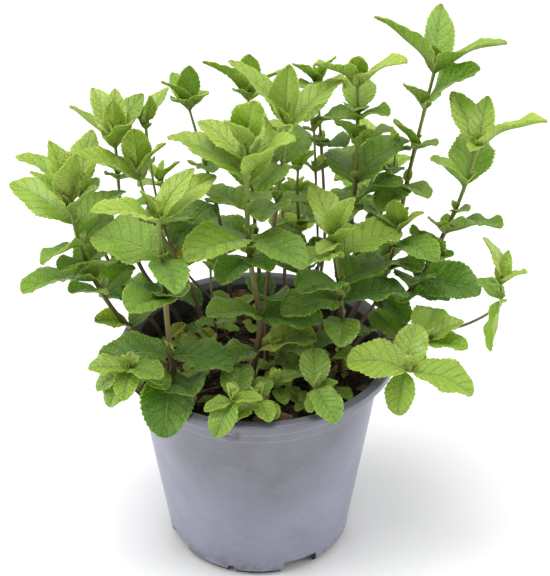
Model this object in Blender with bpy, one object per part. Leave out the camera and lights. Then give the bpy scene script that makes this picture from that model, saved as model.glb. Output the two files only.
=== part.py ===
"""Spearmint growing in a 14 cm plastic nursery pot.

The pot is one injection-moulded shell with a turned-out rim, a shallow collar under it, and a thin skirt
with drain notches round a raised floor whose middle is sunk to the surface. It is filled with potting soil.
Every leafy stem is one solid: a square stem with its pairs of toothed leaves grown from it. Each stem
stands in a plain hole in the soil. The origin is the middle of the pot's base, +Z is up and -Y is the front.
"""

import math
import random

import bmesh
import bpy
from mathutils import Vector
from mathutils.bvhtree import BVHTree

MM = 0.001

# Pot
POT_HEIGHT = 112 * MM
RIM_RADIUS = 70 * MM
RIM_DEPTH = 3.5 * MM
RIM_INNER_RADIUS = 64.5 * MM
COLLAR_RADIUS = 63.5 * MM
COLLAR_HEIGHT = 12 * MM
COLLAR_STEP = 0.4 * MM
BASE_RADIUS = 47 * MM
FOOT_RADIUS = 44 * MM
FOOT_WIDTH = 1.6 * MM
BASE_ROUNDING = 5 * MM
SKIRT_HEIGHT = 8.5 * MM
SKIRT_WALL = 1.8 * MM
CENTRE_RADIUS = 12 * MM
CENTRE_SLOPE = 3 * MM
WALL = 1.2 * MM
FLOOR = 1.7 * MM
DRAIN_RADIUS = 4 * MM
DRAIN_CIRCLE_RADIUS = 29 * MM
DRAIN_COUNT = 6
DRAIN_SIDES = 10
POT_SIDES = 36
# Drain notches through the skirt, repeated in every quarter: middle and width in degrees, then height.
WIDE_NOTCH = (27, 24, 8.0 * MM)
NARROW_NOTCH = (-18, 5, 5.5 * MM)
NOTCH_REACH = 9 * MM
CUT_BEYOND = 2 * MM

# Soil
GAP = 0.3 * MM
SOIL_LEVEL = 103 * MM
SOIL_EDGE_DROP = 2 * MM
SOIL_SIDES = 32
STEM_DEPTH = 16 * MM

# Leaves and stems. A leaf's rise is the slope of the line from its root to its tip, in degrees.
BLADE_THICKNESS = 1.2 * MM
PETIOLE_HALF_WIDTH = 1.0 * MM
ROOT_SINK = 0.4
STEM_TAPER = 0.5
THINNEST_STEM = 0.6 * MM
STEM_STEP = 24 * MM
STEM_TIP = 3 * MM
FOLD = math.radians(16)
TEST_THICKNESS = 2.0 * MM
TEST_SCALE = 1.05
ROOT_SHARE = 0.35
SHORT_SHOOT = 45 * MM

POT_COLOUR = (0.36, 0.37, 0.43)
SOIL_COLOUR = (0.03, 0.02, 0.015)
LEAF_COLOUR = (0.13, 0.27, 0.04)

# Each stem: half the diagonal of its section at the soil, the points it passes through from the soil up,
# and its leaf pairs. A pair is its share of the way up the stem, then for each of its leaves the heading in
# degrees from +X towards +Y, the length, the rise and, where the blade is turned about its rib, that turn.
# Some pairs have lost a leaf.
STEMS = {
    "stem_left_tall": (1.6, ((-50, 6, 103), (-70, 2, 129), (-82, -10, 165), (-88, -22, 205)), (
        (0.23, (205, 22, 32), (40, 18, 25)),
        (0.48, (230, 26, 28), (60, 26, 10)),
        (0.58, (215, 42, 10, 20), (310, 30, 45)),
        (0.69, (240, 24, 18), (60, 32, -5)),
        (0.79, (235, 30, 8, 30), (65, 30, 5)),
        (0.90, (145, 42, 15, -20), (45, 34, 10)),
        (0.96, (175, 30, 50), (330, 26, 50)),
        (1.00, (130, 34, 65), (310, 34, 75)),
    )),
    "stem_left_rear": (1.2, ((-49, 20, 103), (-70, 20, 138), (-80, 14, 172), (-86, 12, 196)), (
        (0.21, (10, 24, 10), (190, 20, 15)),
        (0.59, (250, 24, -10), (80, 28, -15)),
        (0.91, (170, 40, 32), (70, 18, 10)),
        (1.00, (205, 26, 70), (80, 34, 32)),
    )),
    "stem_left_inner": (1.3, ((-40, 33, 103), (-59, 35, 135), (-67, 27, 172), (-68, 13, 222)), (
        (0.21, (0, 26, 5), (180, 24, 0)),
        (0.39, (245, 30, 10), (70, 28, -15)),
        (0.59, (255, 26, 25), (65, 26, -20)),
        (0.84, (240, 14, 35), (330, 14, 20)),
        (0.96, (140, 34, 24, 40), (300, 30, 50)),
        (1.00, (120, 30, 38), (60, 30, 35)),
        (1.00, (270, 24, 80), (90, 26, 50)),
    )),
    "stem_left_middle": (1.2, ((-27, 24, 103), (-38, 20, 145), (-50, 12, 176), (-57, 2, 209)), (
        (0.33, (250, 24, 5), (70, 26, 5)),
        (0.66, (230, 26, -10), (50, 30, -20)),
        (0.96, (155, 40, 15), (75, 24, -10, -50)),
        (1.00, (120, 34, 30), (350, 24, 60)),
        (1.00, (265, 32, 80), (90, 22, 45)),
    )),
    "stem_left_thin": (0.8, ((-18, 38, 103), (-40, 34, 140), (-50, 30, 180), (-54, 25, 225)), (
        (0.54, (130, 14, 20), (310, 14, 30)),
        (0.97, (130, 14, 55), (290, 10, 45)),
        (1.00, (110, 18, 80), (50, 22, 35)),
    )),
    "stem_front_left": (1.7, ((-39, -36, 103), (-42, -39, 133), (-44, -47, 186), (-45, -52, 215)), (
        (0.10, (275, 30, 0)),
        (0.24, (262, 36, -42)),
        (0.33, (185, 37, -5), (350, 32, -10, 10)),
        (0.54, (240, 34, 20), (295, 26, 35)),
        (0.71, (145, 42, 0, -25), (285, 30, 0)),
        (0.99, (210, 38, 25), (50, 42, 10)),
        (1.00, (35, 30, 45), (200, 20, 65)),
    )),
    "stem_small_inner": (0.7, ((-21, 14, 103), (-22, 8, 127), (-23, 1, 146), (-23, -5, 160)), (
        (0.22, (215, 12, 10), (325, 14, 20)),
        (1.00, (245, 12, 50), (325, 12, 40)),
    )),
    "stem_centre_back_left": (1.1, ((-14, 50, 103), (-20, 49, 160), (-29, 42, 206), (-33, 38, 226)), (
        (0.18, (260, 22, 5), (80, 26, 5)),
        (0.37, (228, 34, -10), (280, 20, 30)),
        (0.53, (110, 20, -25), (285, 20, 20)),
        (0.98, (245, 24, 45), (305, 24, 35)),
        (1.00, (225, 28, 65), (65, 18, 5)),
        (1.00, (280, 26, 80), (115, 24, 25)),
    )),
    "stem_centre_back": (1.2, ((2, 53, 103), (-1, 56, 145), (-4, 51, 205), (-4, 48, 226)), (
        (0.30, (190, 28, 0), (10, 28, 0)),
        (0.47, (280, 26, 5), (100, 30, 5)),
        (0.64, (150, 30, -15), (25, 28, -25)),
        (0.98, (240, 20, 40), (70, 20, 0)),
        (1.00, (205, 36, 54, 20), (325, 30, 45)),
        (1.00, (275, 28, 78), (90, 18, 50)),
    )),
    "stem_centre_front": (1.8, ((-4, -23, 103), (1, -25, 140), (-4, -27, 185), (-5, -32, 241)), (
        (0.20, (215, 22, 5), (345, 32, 0)),
        (0.37, (210, 32, 20), (355, 32, 0, 10)),
        (0.63, (240, 28, 0), (295, 24, 5)),
        (0.70, (225, 42, 8), (315, 38, 0)),
        (0.80, (135, 34, -4)),
        (0.88, (75, 38, 35)),
        (0.91, (143, 48, 8), (320, 42, 45)),
        (0.96, (135, 34, 16), (60, 24, 50)),
        (1.00, (240, 30, 50), (285, 36, 65)),
    )),
    "stem_centre_right": (1.4, ((4, -12, 103), (5, -11, 160), (11, -9, 212), (14, -8, 240)), (
        (0.25, (110, 20, 10), (290, 24, 30)),
        (0.38, (120, 28, -5), (300, 28, 40)),
        (0.57, (255, 30, 5), (50, 30, -25)),
        (0.74, (235, 28, 15), (65, 28, 5)),
        (0.98, (250, 22, 30), (35, 38, 25)),
        (1.00, (150, 42, 40, 20), (290, 34, 85)),
    )),
    "stem_dark_centre": (1.2, ((22, 38, 103), (23, 42, 128), (20, 30, 179), (20, 22, 200)), (
        (0.33, (135, 26, 5), (315, 26, 40)),
        (0.52, (230, 26, 30), (300, 26, 40)),
        (0.74, (180, 15, 0, 50), (0, 12, 0, 50)),
        (1.00, (245, 20, 30), (295, 24, 50)),
    )),
    "stem_centre_far": (1.0, ((30, 44, 103), (35, 56, 143), (31, 54, 218), (30, 52, 231)), (
        (0.41, (200, 24, 5), (20, 26, 5)),
        (0.55, (230, 26, 35), (300, 26, 25)),
        (0.80, (255, 28, -8)),
        (0.95, (245, 24, 25), (310, 24, 30)),
        (1.00, (225, 26, 45), (315, 24, 50)),
    )),
    "stem_right_back": (1.4, ((42, 32, 103), (47, 33, 159), (49, 27, 205), (48, 20, 247)), (
        (0.26, (200, 28, 0), (20, 30, 0)),
        (0.44, (255, 22, 5), (330, 34, 35)),
        (0.53, (125, 42, 20), (30, 36, 5)),
        (0.71, (230, 28, 50), (315, 28, 45)),
        (0.84, (130, 36, -10), (305, 28, 35)),
        (0.87, (260, 24, 30), (85, 32, 15)),
        (0.99, (220, 36, 37, 8), (315, 40, 38, 3)),
        (1.00, (265, 22, 65), (85, 20, 20)),
    )),
    "stem_right_back_thin": (0.7, ((31, 27, 103), (31, 39, 142), (29, 37, 195), (28, 35, 215)), (
        (0.46, (190, 18, 5), (10, 20, 5)),
        (0.63, (225, 12, 45), (65, 14, 0)),
        (1.00, (225, 10, 30), (310, 12, 50)),
    )),
    "stem_right_front": (1.4, ((41, -14, 103), (41, -18, 145), (37, -23, 176), (37, -25, 188)), (
        (0.18, (225, 20, 10), (45, 24, -15)),
        (0.28, (265, 26, 0)),
        (0.38, (200, 34, -5), (20, 36, -5)),
        (0.47, (230, 34, 20), (45, 40, -5)),
        (0.69, (235, 34, 25), (35, 40, 0)),
        (0.94, (245, 22, 15), (300, 24, 45)),
        (1.00, (110, 36, 15), (300, 34, 65)),
    )),
    "stem_right_star_high": (0.9, ((38, 37, 103), (57, 44, 141), (68, 45, 184), (69, 45, 200)), (
        (0.48, (180, 24, 5), (290, 22, 5)),
        (0.67, (240, 26, 20), (315, 24, 0)),
        (0.96, (230, 16, 40), (305, 14, 25)),
        (1.00, (210, 16, 70), (310, 14, 60)),
    )),
    "stem_right_star": (1.1, ((46, 14, 103), (60, 17, 127), (67, 10, 160), (68, 5, 175)), (
        (0.36, (240, 28, 25), (310, 26, -5)),
        (0.56, (225, 30, 20), (310, 26, 20)),
        (0.77, (230, 34, 30), (305, 34, 10)),
        (0.96, (205, 18, 50), (305, 22, 40)),
        (1.00, (255, 24, 70), (265, 14, 15)),
    )),
    "stem_right_tallest": (1.5, ((45, 25, 103), (67, 34, 145), (77, 38, 196), (86, 40, 243)), (
        (0.29, (110, 26, 0), (250, 22, 5)),
        (0.44, (190, 24, 0)),
        (0.58, (235, 26, 0), (300, 20, 5)),
        (0.71, (195, 24, 28), (305, 20, 30)),
        (0.86, (225, 26, 50), (330, 42, 46, 15)),
        (1.00, (190, 46, 47, 15), (330, 46, 34, -15)),
        (1.00, (260, 20, 70), (80, 38, 42, 30)),
    )),
    "stem_right_tall": (1.5, ((49, 8, 103), (78, 15, 136), (96, 12, 180), (106, 8, 220)), (
        (0.31, (250, 20, 15), (350, 22, -5)),
        (0.36, (240, 30, 55), (350, 34, -5, 30)),
        (0.44, (250, 30, 65), (330, 18, 35)),
        (0.58, (240, 20, 45), (325, 36, 24, -20)),
        (0.68, (295, 16, 30)),
        (0.80, (200, 28, 45), (75, 40, 12)),
        (0.99, (110, 36, 35), (322, 46, 36, -6)),
        (1.00, (250, 18, 20), (75, 28, 38)),
    )),
    "stem_right_hanging": (1.2, (
        (48, -2, 103), (70, -1, 121), (98, -8, 127), (116, -24, 150), (116, -30, 167),
    ), (
        (0.82, (255, 32, -20, 66), (120, 20, 5)),
        (0.97, (225, 14, 30), (65, 18, 60)),
        (1.00, (155, 26, 65), (315, 20, 40)),
    )),
    "stem_right_low": (1.2, ((46, -16, 103), (54, -28, 116), (65, -44, 127), (72, -60, 137)), (
        (0.50, (160, 24, 5), (350, 20, 10)),
        (0.90, (250, 22, -58), (70, 24, 40)),
        (1.00, (165, 32, 0, -20), (345, 32, -15, 10)),
    )),
    "stem_right_rim": (1.0, ((52, -6, 103), (65, -7, 119), (76, -14, 121), (82, -25, 130)), (
        (0.50, (120, 26, 35), (300, 22, 5)),
        (0.90, (340, 24, 5)),
        (1.00, (20, 22, 20), (78, 28, 5)),
    )),
    "stem_front_small_left": (0.8, ((-11, -46, 103), (-11, -50, 112), (-12, -58, 120), (-12, -66, 125)), (
        (0.60, (230, 16, -15), (80, 24, 20)),
        (1.00, (200, 15, -10), (350, 15, 10)),
        (1.00, (240, 20, -35)),
    )),
    "stem_front_small_centre": (0.8, ((1, -46, 103), (1, -50, 111), (0, -57, 119)), (
        (0.60, (150, 12, 10), (300, 16, -15)),
        (1.00, (240, 20, -25), (60, 13, 20)),
        (1.00, (290, 16, -10)),
    )),
    "stem_front_dark": (0.7, ((9, -34, 103), (9, -38, 112), (8, -44, 120)), (
        (0.50, (110, 12, 15), (290, 12, -10)),
        (1.00, (200, 14, 10), (20, 14, 5)),
    )),
    "stem_front_right_small": (0.8, ((28, -42, 103), (28, -46, 112), (27, -54, 124)), (
        (0.90, (260, 14, -20, 50), (15, 12, 10)),
        (1.00, (90, 22, 25), (300, 22, -25)),
    )),
    "stem_front_centre_small": (0.9, ((12, -6, 103), (11, -14, 115), (9, -27, 128)), (
        (0.50, (120, 16, 5), (300, 22, 0)),
        (1.00, (200, 20, 25), (20, 26, 5)),
    )),
    "stem_left_low": (1.1, ((-46, -16, 103), (-53, -30, 116), (-58, -43, 127), (-61, -55, 136)), (
        (0.35, (215, 26, -12), (110, 20, 40)),
        (0.60, (150, 24, 0), (310, 22, 0)),
        (0.85, (230, 22, -20), (330, 18, -10)),
        (0.95, (190, 20, -5), (260, 18, -25)),
        (1.00, (160, 20, 5), (320, 22, 10)),
    )),
    "stem_rear_left": (1.1, ((-32, 42, 103), (-44, 57, 135), (-48, 63, 155), (-50, 65, 170)), (
        (0.25, (160, 28, 5)),
        (0.50, (70, 28, 0), (250, 26, 5)),
        (0.75, (200, 18, 0), (290, 22, 0)),
        (0.95, (240, 24, 25)),
        (1.00, (150, 14, 45), (330, 20, 50)),
    )),
    "stem_rear_centre": (1.0, ((14, 51, 103), (14, 64, 140), (10, 72, 175), (8, 74, 190)), (
        (0.30, (60, 30, 0)),
        (0.55, (150, 30, 5), (310, 26, 0)),
        (0.80, (80, 30, 5), (260, 24, 10)),
        (1.00, (170, 26, 45), (350, 26, 40)),
    )),
    "stem_rear_right": (1.1, ((20, 49, 103), (42, 65, 135), (58, 74, 160), (63, 76, 175)), (
        (0.30, (20, 28, 0)),
        (0.60, (100, 30, 0), (280, 26, 5)),
        (0.85, (30, 24, 5), (210, 26, 5)),
        (1.00, (120, 26, 45), (300, 22, 45)),
    )),
}


def clear_scene():
    for obj in list(bpy.data.objects):
        bpy.data.objects.remove(obj, do_unlink=True)


def finish(name, colour, roughness):
    material = bpy.data.materials.new(name)
    material.use_nodes = True
    shader = material.node_tree.nodes["Principled BSDF"]
    shader.inputs["Base Color"].default_value = (*colour, 1)
    shader.inputs["Roughness"].default_value = roughness
    shader.inputs["Metallic"].default_value = 0
    return material


def new_object(name, points, faces, material=None):
    mesh = bpy.data.meshes.new(name)
    mesh.from_pydata([tuple(p) for p in points], [], faces)
    mesh.update()
    if material:
        mesh.materials.append(material)
    obj = bpy.data.objects.new(name, mesh)
    bpy.context.scene.collection.objects.link(obj)
    return obj


def turned(profile, sides):
    """Points and faces of a profile of (radius, height) turned about Z, which starts and ends at radius 0."""
    points = [Vector((0, 0, profile[0][1]))]
    for radius, height in profile[1:-1]:
        for k in range(sides):
            angle = math.tau * k / sides
            points.append(Vector((radius * math.cos(angle), radius * math.sin(angle), height)))
    points.append(Vector((0, 0, profile[-1][1])))
    rings = len(profile) - 2
    last = len(points) - 1
    faces = []
    for k in range(sides):
        after = (k + 1) % sides
        faces.append((0, 1 + after, 1 + k))
        faces.append((last, 1 + (rings - 1) * sides + k, 1 + (rings - 1) * sides + after))
        for ring in range(rings - 1):
            low = 1 + ring * sides
            faces.append((low + k, low + after, low + sides + after, low + sides + k))
    return points, faces


def prism(name, outline, bottom, top):
    """A guide solid with this (x, y) outline, anticlockwise, between two heights."""
    count = len(outline)
    points = [(x, y, z) for z in (bottom, top) for x, y in outline]
    sides = [(k, (k + 1) % count, count + (k + 1) % count, count + k) for k in range(count)]
    caps = [tuple(reversed(range(count))), tuple(range(count, 2 * count))]
    return new_object(name, points, sides + caps)


def combine(obj, tools, operation, solver):
    """Cuts these solids from the object, or joins them to it, and removes them."""
    group = bpy.data.collections.new(obj.name + "_tools")
    bpy.context.scene.collection.children.link(group)
    for tool in tools:
        group.objects.link(tool)
        bpy.context.scene.collection.objects.unlink(tool)
    boolean = obj.modifiers.new("Combine", "BOOLEAN")
    boolean.operation = operation
    boolean.operand_type = "COLLECTION"
    boolean.collection = group
    boolean.solver = solver
    graph = bpy.context.evaluated_depsgraph_get()
    mesh = bpy.data.meshes.new_from_object(obj.evaluated_get(graph))
    obj.modifiers.clear()
    old = obj.data
    obj.data = mesh
    bpy.data.meshes.remove(old)
    mesh.name = obj.name
    for tool in tools:
        bpy.data.objects.remove(tool, do_unlink=True)
    bpy.data.collections.remove(group)


def ring_sector(middle_degrees, width_degrees, inner, outer, steps=4):
    """The outline of a piece of a ring."""
    start = math.radians(middle_degrees - width_degrees / 2)
    span = math.radians(width_degrees)
    angles = [start + span * k / steps for k in range(steps + 1)]
    out = [(outer * math.cos(a), outer * math.sin(a)) for a in angles]
    back = [(inner * math.cos(a), inner * math.sin(a)) for a in reversed(angles)]
    return out + back


def circle(x, y, radius, sides):
    angles = [math.tau * k / sides for k in range(sides)]
    return [(x + radius * math.cos(a), y + radius * math.sin(a)) for a in angles]


def inner_wall_radius(height):
    """The pot's inside radius at this height, below its collar."""
    share = (height - BASE_ROUNDING) / (POT_HEIGHT - RIM_DEPTH - BASE_ROUNDING)
    return BASE_RADIUS + (COLLAR_RADIUS - BASE_RADIUS) * share - WALL


def make_pot():
    under_rim = POT_HEIGHT - RIM_DEPTH
    collar_foot = under_rim - COLLAR_HEIGHT
    wall_at_collar = inner_wall_radius(collar_foot) + WALL
    floor_top = SKIRT_HEIGHT + FLOOR
    profile = (
        (0, 0),
        (CENTRE_RADIUS, 0),
        (CENTRE_RADIUS + CENTRE_SLOPE, SKIRT_HEIGHT),
        (BASE_RADIUS - SKIRT_WALL + 0.2 * MM, SKIRT_HEIGHT),
        (BASE_RADIUS - SKIRT_WALL - 0.6 * MM, 0.6 * BASE_ROUNDING),
        (FOOT_RADIUS - FOOT_WIDTH, 0),
        (FOOT_RADIUS, 0),
        (BASE_RADIUS - 0.7 * MM, 0.35 * BASE_ROUNDING),
        (BASE_RADIUS, BASE_ROUNDING),
        (wall_at_collar - COLLAR_STEP, collar_foot),
        (wall_at_collar, collar_foot + COLLAR_STEP),
        (COLLAR_RADIUS, under_rim),
        (RIM_RADIUS, under_rim),
        (RIM_RADIUS, POT_HEIGHT - 1.0 * MM),
        (RIM_RADIUS - 1.0 * MM, POT_HEIGHT),
        (RIM_INNER_RADIUS, POT_HEIGHT),
        (COLLAR_RADIUS - WALL, under_rim),
        (inner_wall_radius(floor_top), floor_top),
        (CENTRE_RADIUS + CENTRE_SLOPE - FLOOR, floor_top),
        (CENTRE_RADIUS - 0.7 * FLOOR, FLOOR),
        (0, FLOOR),
    )
    points, faces = turned(profile, POT_SIDES)
    pot = new_object("pot", points, faces, finish("pot_plastic", POT_COLOUR, 0.55))
    cutters = []
    for quarter in range(4):
        for middle, width, height in (WIDE_NOTCH, NARROW_NOTCH):
            turn = 90 * quarter - 90
            outline = ring_sector(middle + turn, width, FOOT_RADIUS - NOTCH_REACH, BASE_RADIUS + CUT_BEYOND)
            cutters.append(prism("notch", outline, -CUT_BEYOND, height))
    for k in range(DRAIN_COUNT):
        angle = math.tau * (k + 0.5) / DRAIN_COUNT
        x, y = DRAIN_CIRCLE_RADIUS * math.cos(angle), DRAIN_CIRCLE_RADIUS * math.sin(angle)
        outline = circle(x, y, DRAIN_RADIUS, DRAIN_SIDES)
        cutters.append(prism("drain", outline, SKIRT_HEIGHT - CUT_BEYOND, floor_top + CUT_BEYOND))
    combine(pot, cutters, "DIFFERENCE", "EXACT")
    pot.data.shade_smooth()
    pot.data.set_sharp_from_angle(angle=math.radians(30))


def make_soil(stems):
    draw = random.Random(5)
    bottom = SKIRT_HEIGHT + FLOOR + GAP
    edge = SOIL_LEVEL - SOIL_EDGE_DROP
    profile = (
        (0, bottom),
        (inner_wall_radius(bottom) - GAP - 0.2 * MM, bottom),
        (inner_wall_radius(edge) - GAP - 0.2 * MM, edge),
        (0.80 * COLLAR_RADIUS, SOIL_LEVEL - 0.6 * MM),
        (0.40 * COLLAR_RADIUS, SOIL_LEVEL - 0.4 * MM),
        (0, SOIL_LEVEL),
    )
    points, faces = turned(profile, SOIL_SIDES)
    for point in points:
        if point.z > edge + 0.1 * MM:
            point.z += draw.uniform(-0.8, 0.5) * MM
    soil = new_object("soil", points, faces, finish("potting_soil", SOIL_COLOUR, 0.95))
    holes = []
    for stem in stems:
        x, y, _ = stem.foot
        outline = square(x, y, stem.radius + GAP * math.sqrt(2))
        holes.append(prism("hole", outline, SOIL_LEVEL - STEM_DEPTH - GAP, SOIL_LEVEL + CUT_BEYOND))
    combine(soil, holes, "DIFFERENCE", "EXACT")


def square(x, y, reach):
    """The corners of a square stem's section, which face along the axes."""
    return [(x + reach, y), (x, y + reach), (x - reach, y), (x, y - reach)]


class Stem:
    """A square stem on a smooth line through its points, rising straight out of the soil."""

    def __init__(self, name, radius, points):
        self.name = name
        self.radius = radius * MM
        self.points = [Vector(p) * MM for p in points]
        self.foot = self.points[0]

    def at(self, share):
        """Place and direction this share of the way up, on a Catmull-Rom curve."""
        points = self.points
        spans = len(points) - 1
        place = min(max(share, 0), 0.9999) * spans
        k = int(place)
        t = place - k
        b, c = points[k], points[k + 1]
        a = points[k - 1] if k else b - Vector((0, 0, (c - b).length))
        d = points[k + 2] if k + 2 <= spans else c + (c - b)
        point = 0.5 * (2 * b + (c - a) * t + (2 * a - 5 * b + 4 * c - d) * t**2
                       + (3 * b - a - 3 * c + d) * t**3)
        slope = 0.5 * ((c - a) + 2 * (2 * a - 5 * b + 4 * c - d) * t + 3 * (3 * b - a - 3 * c + d) * t**2)
        return point, slope.normalized()

    def radius_at(self, share):
        return max(self.radius * (1 - STEM_TAPER * share), THINNEST_STEM)

    def solid(self):
        """Points and faces of the stem, from its sunk end to its tip."""
        foot = self.foot
        sunk = Vector((foot.x, foot.y, SOIL_LEVEL - STEM_DEPTH))
        rings = [(sunk, Vector((0, 0, 1)), self.radius), (foot.copy(), Vector((0, 0, 1)), self.radius)]
        steps = max(3, round((self.points[-1] - foot).length / STEM_STEP))
        for k in range(1, steps + 1):
            point, direction = self.at(k / steps)
            rings.append((point, direction, self.radius_at(k / steps)))
        tip, direction = self.at(1)
        rings.append((tip + direction * STEM_TIP, direction, 0.6 * self.radius_at(1)))
        points = []
        for centre, direction, radius in rings:
            side = Vector((0, 1, 0)).cross(direction).normalized()
            front = direction.cross(side)
            points += [centre + turn * radius for turn in (side, front, -side, -front)]
        faces = [(3, 2, 1, 0), tuple(range(len(points) - 4, len(points)))]
        for ring in range(len(rings) - 1):
            low = 4 * ring
            for k in range(4):
                after = (k + 1) % 4
                faces.append((low + k, low + after, low + 4 + after))
                faces.append((low + k, low + 4 + after, low + 4 + k))
        return points, faces


# A leaf's edge as (share of its length, share of its half-width), from the petiole to the last notch.
EDGE = ((0.26, 0.72), (0.50, 1.0), (0.54, 0.89), (0.80, 0.60))
RIB = 0.50


class Leaf:
    """A toothed blade, folded up along its rib and arched over its length."""

    def __init__(self, stem, share, heading, length, rise, roll=0):
        self.heading = math.radians(heading)
        self.roll = math.radians(roll)
        out = Vector((math.cos(self.heading), math.sin(self.heading), 0))
        self.root = stem.at(share)[0] - out * ROOT_SINK * stem.radius_at(share)
        self.petiole = min(PETIOLE_HALF_WIDTH, stem.radius_at(share))
        self.length = length * MM
        self.rise = math.radians(rise)
        self.share = share
        tall = stem.points[-1].z - SOIL_LEVEL > SHORT_SHOOT
        young = min(1, max(0, (share - 0.6) / 0.4)) if tall else 0
        low = max(0, 1 - share / 0.3)
        self.half_width = self.length * (0.37 - 0.09 * young + 0.10 * low)
        self.arch = math.radians(40 - 6 * young) * min(1, length / 30)

    def varied(self, turn, lift, scale):
        """The same leaf turned, lifted and shortened."""
        other = Leaf.__new__(Leaf)
        other.__dict__.update(self.__dict__)
        other.heading += math.radians(turn)
        other.rise += math.radians(lift)
        other.length *= scale
        other.half_width *= scale
        return other

    def rib(self, share):
        """Place, side and face direction on the rib, this share of the way to the tip."""
        out = Vector((math.cos(self.heading), math.sin(self.heading), 0))
        side = Vector((-out.y, out.x, 0))
        start = self.rise + self.arch / 2
        slope = start - self.arch * share
        run = (math.sin(start) - math.sin(slope)) / self.arch
        climb = (math.cos(slope) - math.cos(start)) / self.arch
        place = self.root + (out * run + Vector((0, 0, climb))) * self.length
        face = Vector((0, 0, 1)) * math.cos(slope) - out * math.sin(slope)
        cos, sin = math.cos(self.roll * min(1, share / 0.3)), math.sin(self.roll * min(1, share / 0.3))
        return place, side * cos + face * sin, face * cos - side * sin

    def solid(self, thickness=BLADE_THICKNESS, scale=1.0, start=0.0):
        """Points and faces. The blade is thick at its rib and both faces end in one edge, split alike."""
        edge, ribs = EDGE, (start, RIB)
        points, upper, lower, left, right = [], [], [], [], []
        grown = self.varied(0, 0, scale)
        for share in ribs:
            place, _, face = grown.rib(share)
            for side, rail in ((0.5, upper), (-0.5, lower)):
                rail.append(len(points))
                points.append(place + face * thickness * side)
        if start > edge[0][0]:
            edge = ((start, 0.6),) + tuple(point for point in edge if point[0] > start)
        for share, width in edge:
            place, side, face = grown.rib(share)
            reach = max(width * grown.half_width, grown.petiole)
            for sign, rail in ((1, left), (-1, right)):
                rail.append(len(points))
                points.append(place + (side * sign * math.cos(FOLD) + face * math.sin(FOLD)) * reach)
        tip = len(points)
        points.append(grown.rib(1)[0])
        edge_shares = [share for share, _ in edge] + [1.0]
        rib_shares = list(ribs) + [1.0]
        faces = [(upper[0], left[0], lower[0]), (upper[0], lower[0], right[0])]
        rails = ((upper, left, 0), (upper, right, 1), (lower, left, 1), (lower, right, 0))
        for rib_rail, edge_rail, flip in rails:
            strip = zipped(rib_rail + [tip], rib_shares, edge_rail + [tip], edge_shares)
            faces += [face[::-1] if flip else face for face in strip]
        return points, faces


def zipped(rib, rib_shares, edge, edge_shares):
    """Triangles between a rib and an edge that meet at the tip."""
    faces = []
    i = j = 0
    while i < len(rib) - 1 or j < len(edge) - 1:
        step_rib = j == len(edge) - 1 or (i < len(rib) - 1 and rib_shares[i + 1] <= edge_shares[j + 1])
        if step_rib:
            if rib[i + 1] != edge[j]:
                faces.append((rib[i], rib[i + 1], edge[j]))
            i += 1
        else:
            if rib[i] != edge[j + 1]:
                faces.append((rib[i], edge[j + 1], edge[j]))
            j += 1
    return faces


class Shape:
    """A closed shape to keep clear of, with a ball round it for a quick first test."""

    def __init__(self, owner, solid):
        points = solid[0]
        self.owner = owner
        self.tree = BVHTree.FromPolygons(*solid)
        self.middle = sum(points, Vector()) / len(points)
        self.reach = max((point - self.middle).length for point in points)

    def meets(self, other):
        if (self.middle - other.middle).length > self.reach + other.reach:
            return False
        return bool(self.tree.overlap(other.tree))


def adjustments():
    """The turns, lifts and scales tried for a leaf that would touch another, smallest change first."""
    steps = [(turn, lift) for turn in (0, 8, -8, 16, -16, 26, -26) for lift in (0, 8, -8, 16, -16, 26, -26)]
    steps.sort(key=lambda step: abs(step[0]) + abs(step[1]))
    return [(turn, lift, scale) for scale in (1.0, 0.85, 0.7) for turn, lift in steps]


def rim_and_soil():
    """Points and faces of the space of the pot and the soil, which leaves stay above and outside."""
    return turned((
        (0, SOIL_LEVEL - 3 * MM),
        (COLLAR_RADIUS, SOIL_LEVEL - 3 * MM),
        (RIM_RADIUS + GAP, POT_HEIGHT - RIM_DEPTH - GAP),
        (RIM_RADIUS + GAP, POT_HEIGHT + GAP),
        (RIM_INNER_RADIUS - GAP, POT_HEIGHT + GAP),
        (COLLAR_RADIUS - WALL - GAP, SOIL_LEVEL + GAP),
        (0, SOIL_LEVEL + 1 * MM),
    ), POT_SIDES)


def place_leaves(stems, pot_space):
    """The leaves of each stem, each moved as little as keeps it clear of all that stands before it."""
    others = [Shape(None, pot_space)] + [Shape(stem, stem.solid()) for stem in stems]
    tries = adjustments()
    leaves = {stem: [] for stem in stems}
    for stem in stems:
        own = [Shape(stem, stem.solid())]
        for share, *pair in reversed(STEMS[stem.name][2]):
            for heading, length, rise, *roll in pair:
                leaf = Leaf(stem, share, heading, length, rise, *roll)
                for change in tries:
                    test = leaf.varied(*change)
                    whole = Shape(stem, test.solid(TEST_THICKNESS, TEST_SCALE))
                    beyond_root = Shape(stem, test.solid(TEST_THICKNESS, 1, ROOT_SHARE))
                    if any(beyond_root.meets(shape) for shape in own):
                        continue
                    if any(shape.owner is not stem and whole.meets(shape) for shape in others):
                        continue
                    others.append(whole)
                    own.append(beyond_root)
                    leaves[stem].append(test)
                    break
    return leaves


def main():
    clear_scene()
    make_pot()
    stems = [Stem(name, radius, points) for name, (radius, points, _) in STEMS.items()]
    make_soil(stems)
    leaves = place_leaves(stems, rim_and_soil())
    for stem in stems:
        obj = new_object(stem.name, *stem.solid(), finish(stem.name + "_green", LEAF_COLOUR, 0.5))
        blades = [new_object("blade", *leaf.solid()) for leaf in leaves[stem]]
        combine(obj, blades, "UNION", "MANIFOLD")


main()
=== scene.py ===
"""The looks of a potted mint plant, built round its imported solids.

The sections follow the plant as it is potted: the pot, the soil, the leafy stems, the litter that lies on the
soil, and then the place where it stands.
"""

import math
import random

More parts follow.
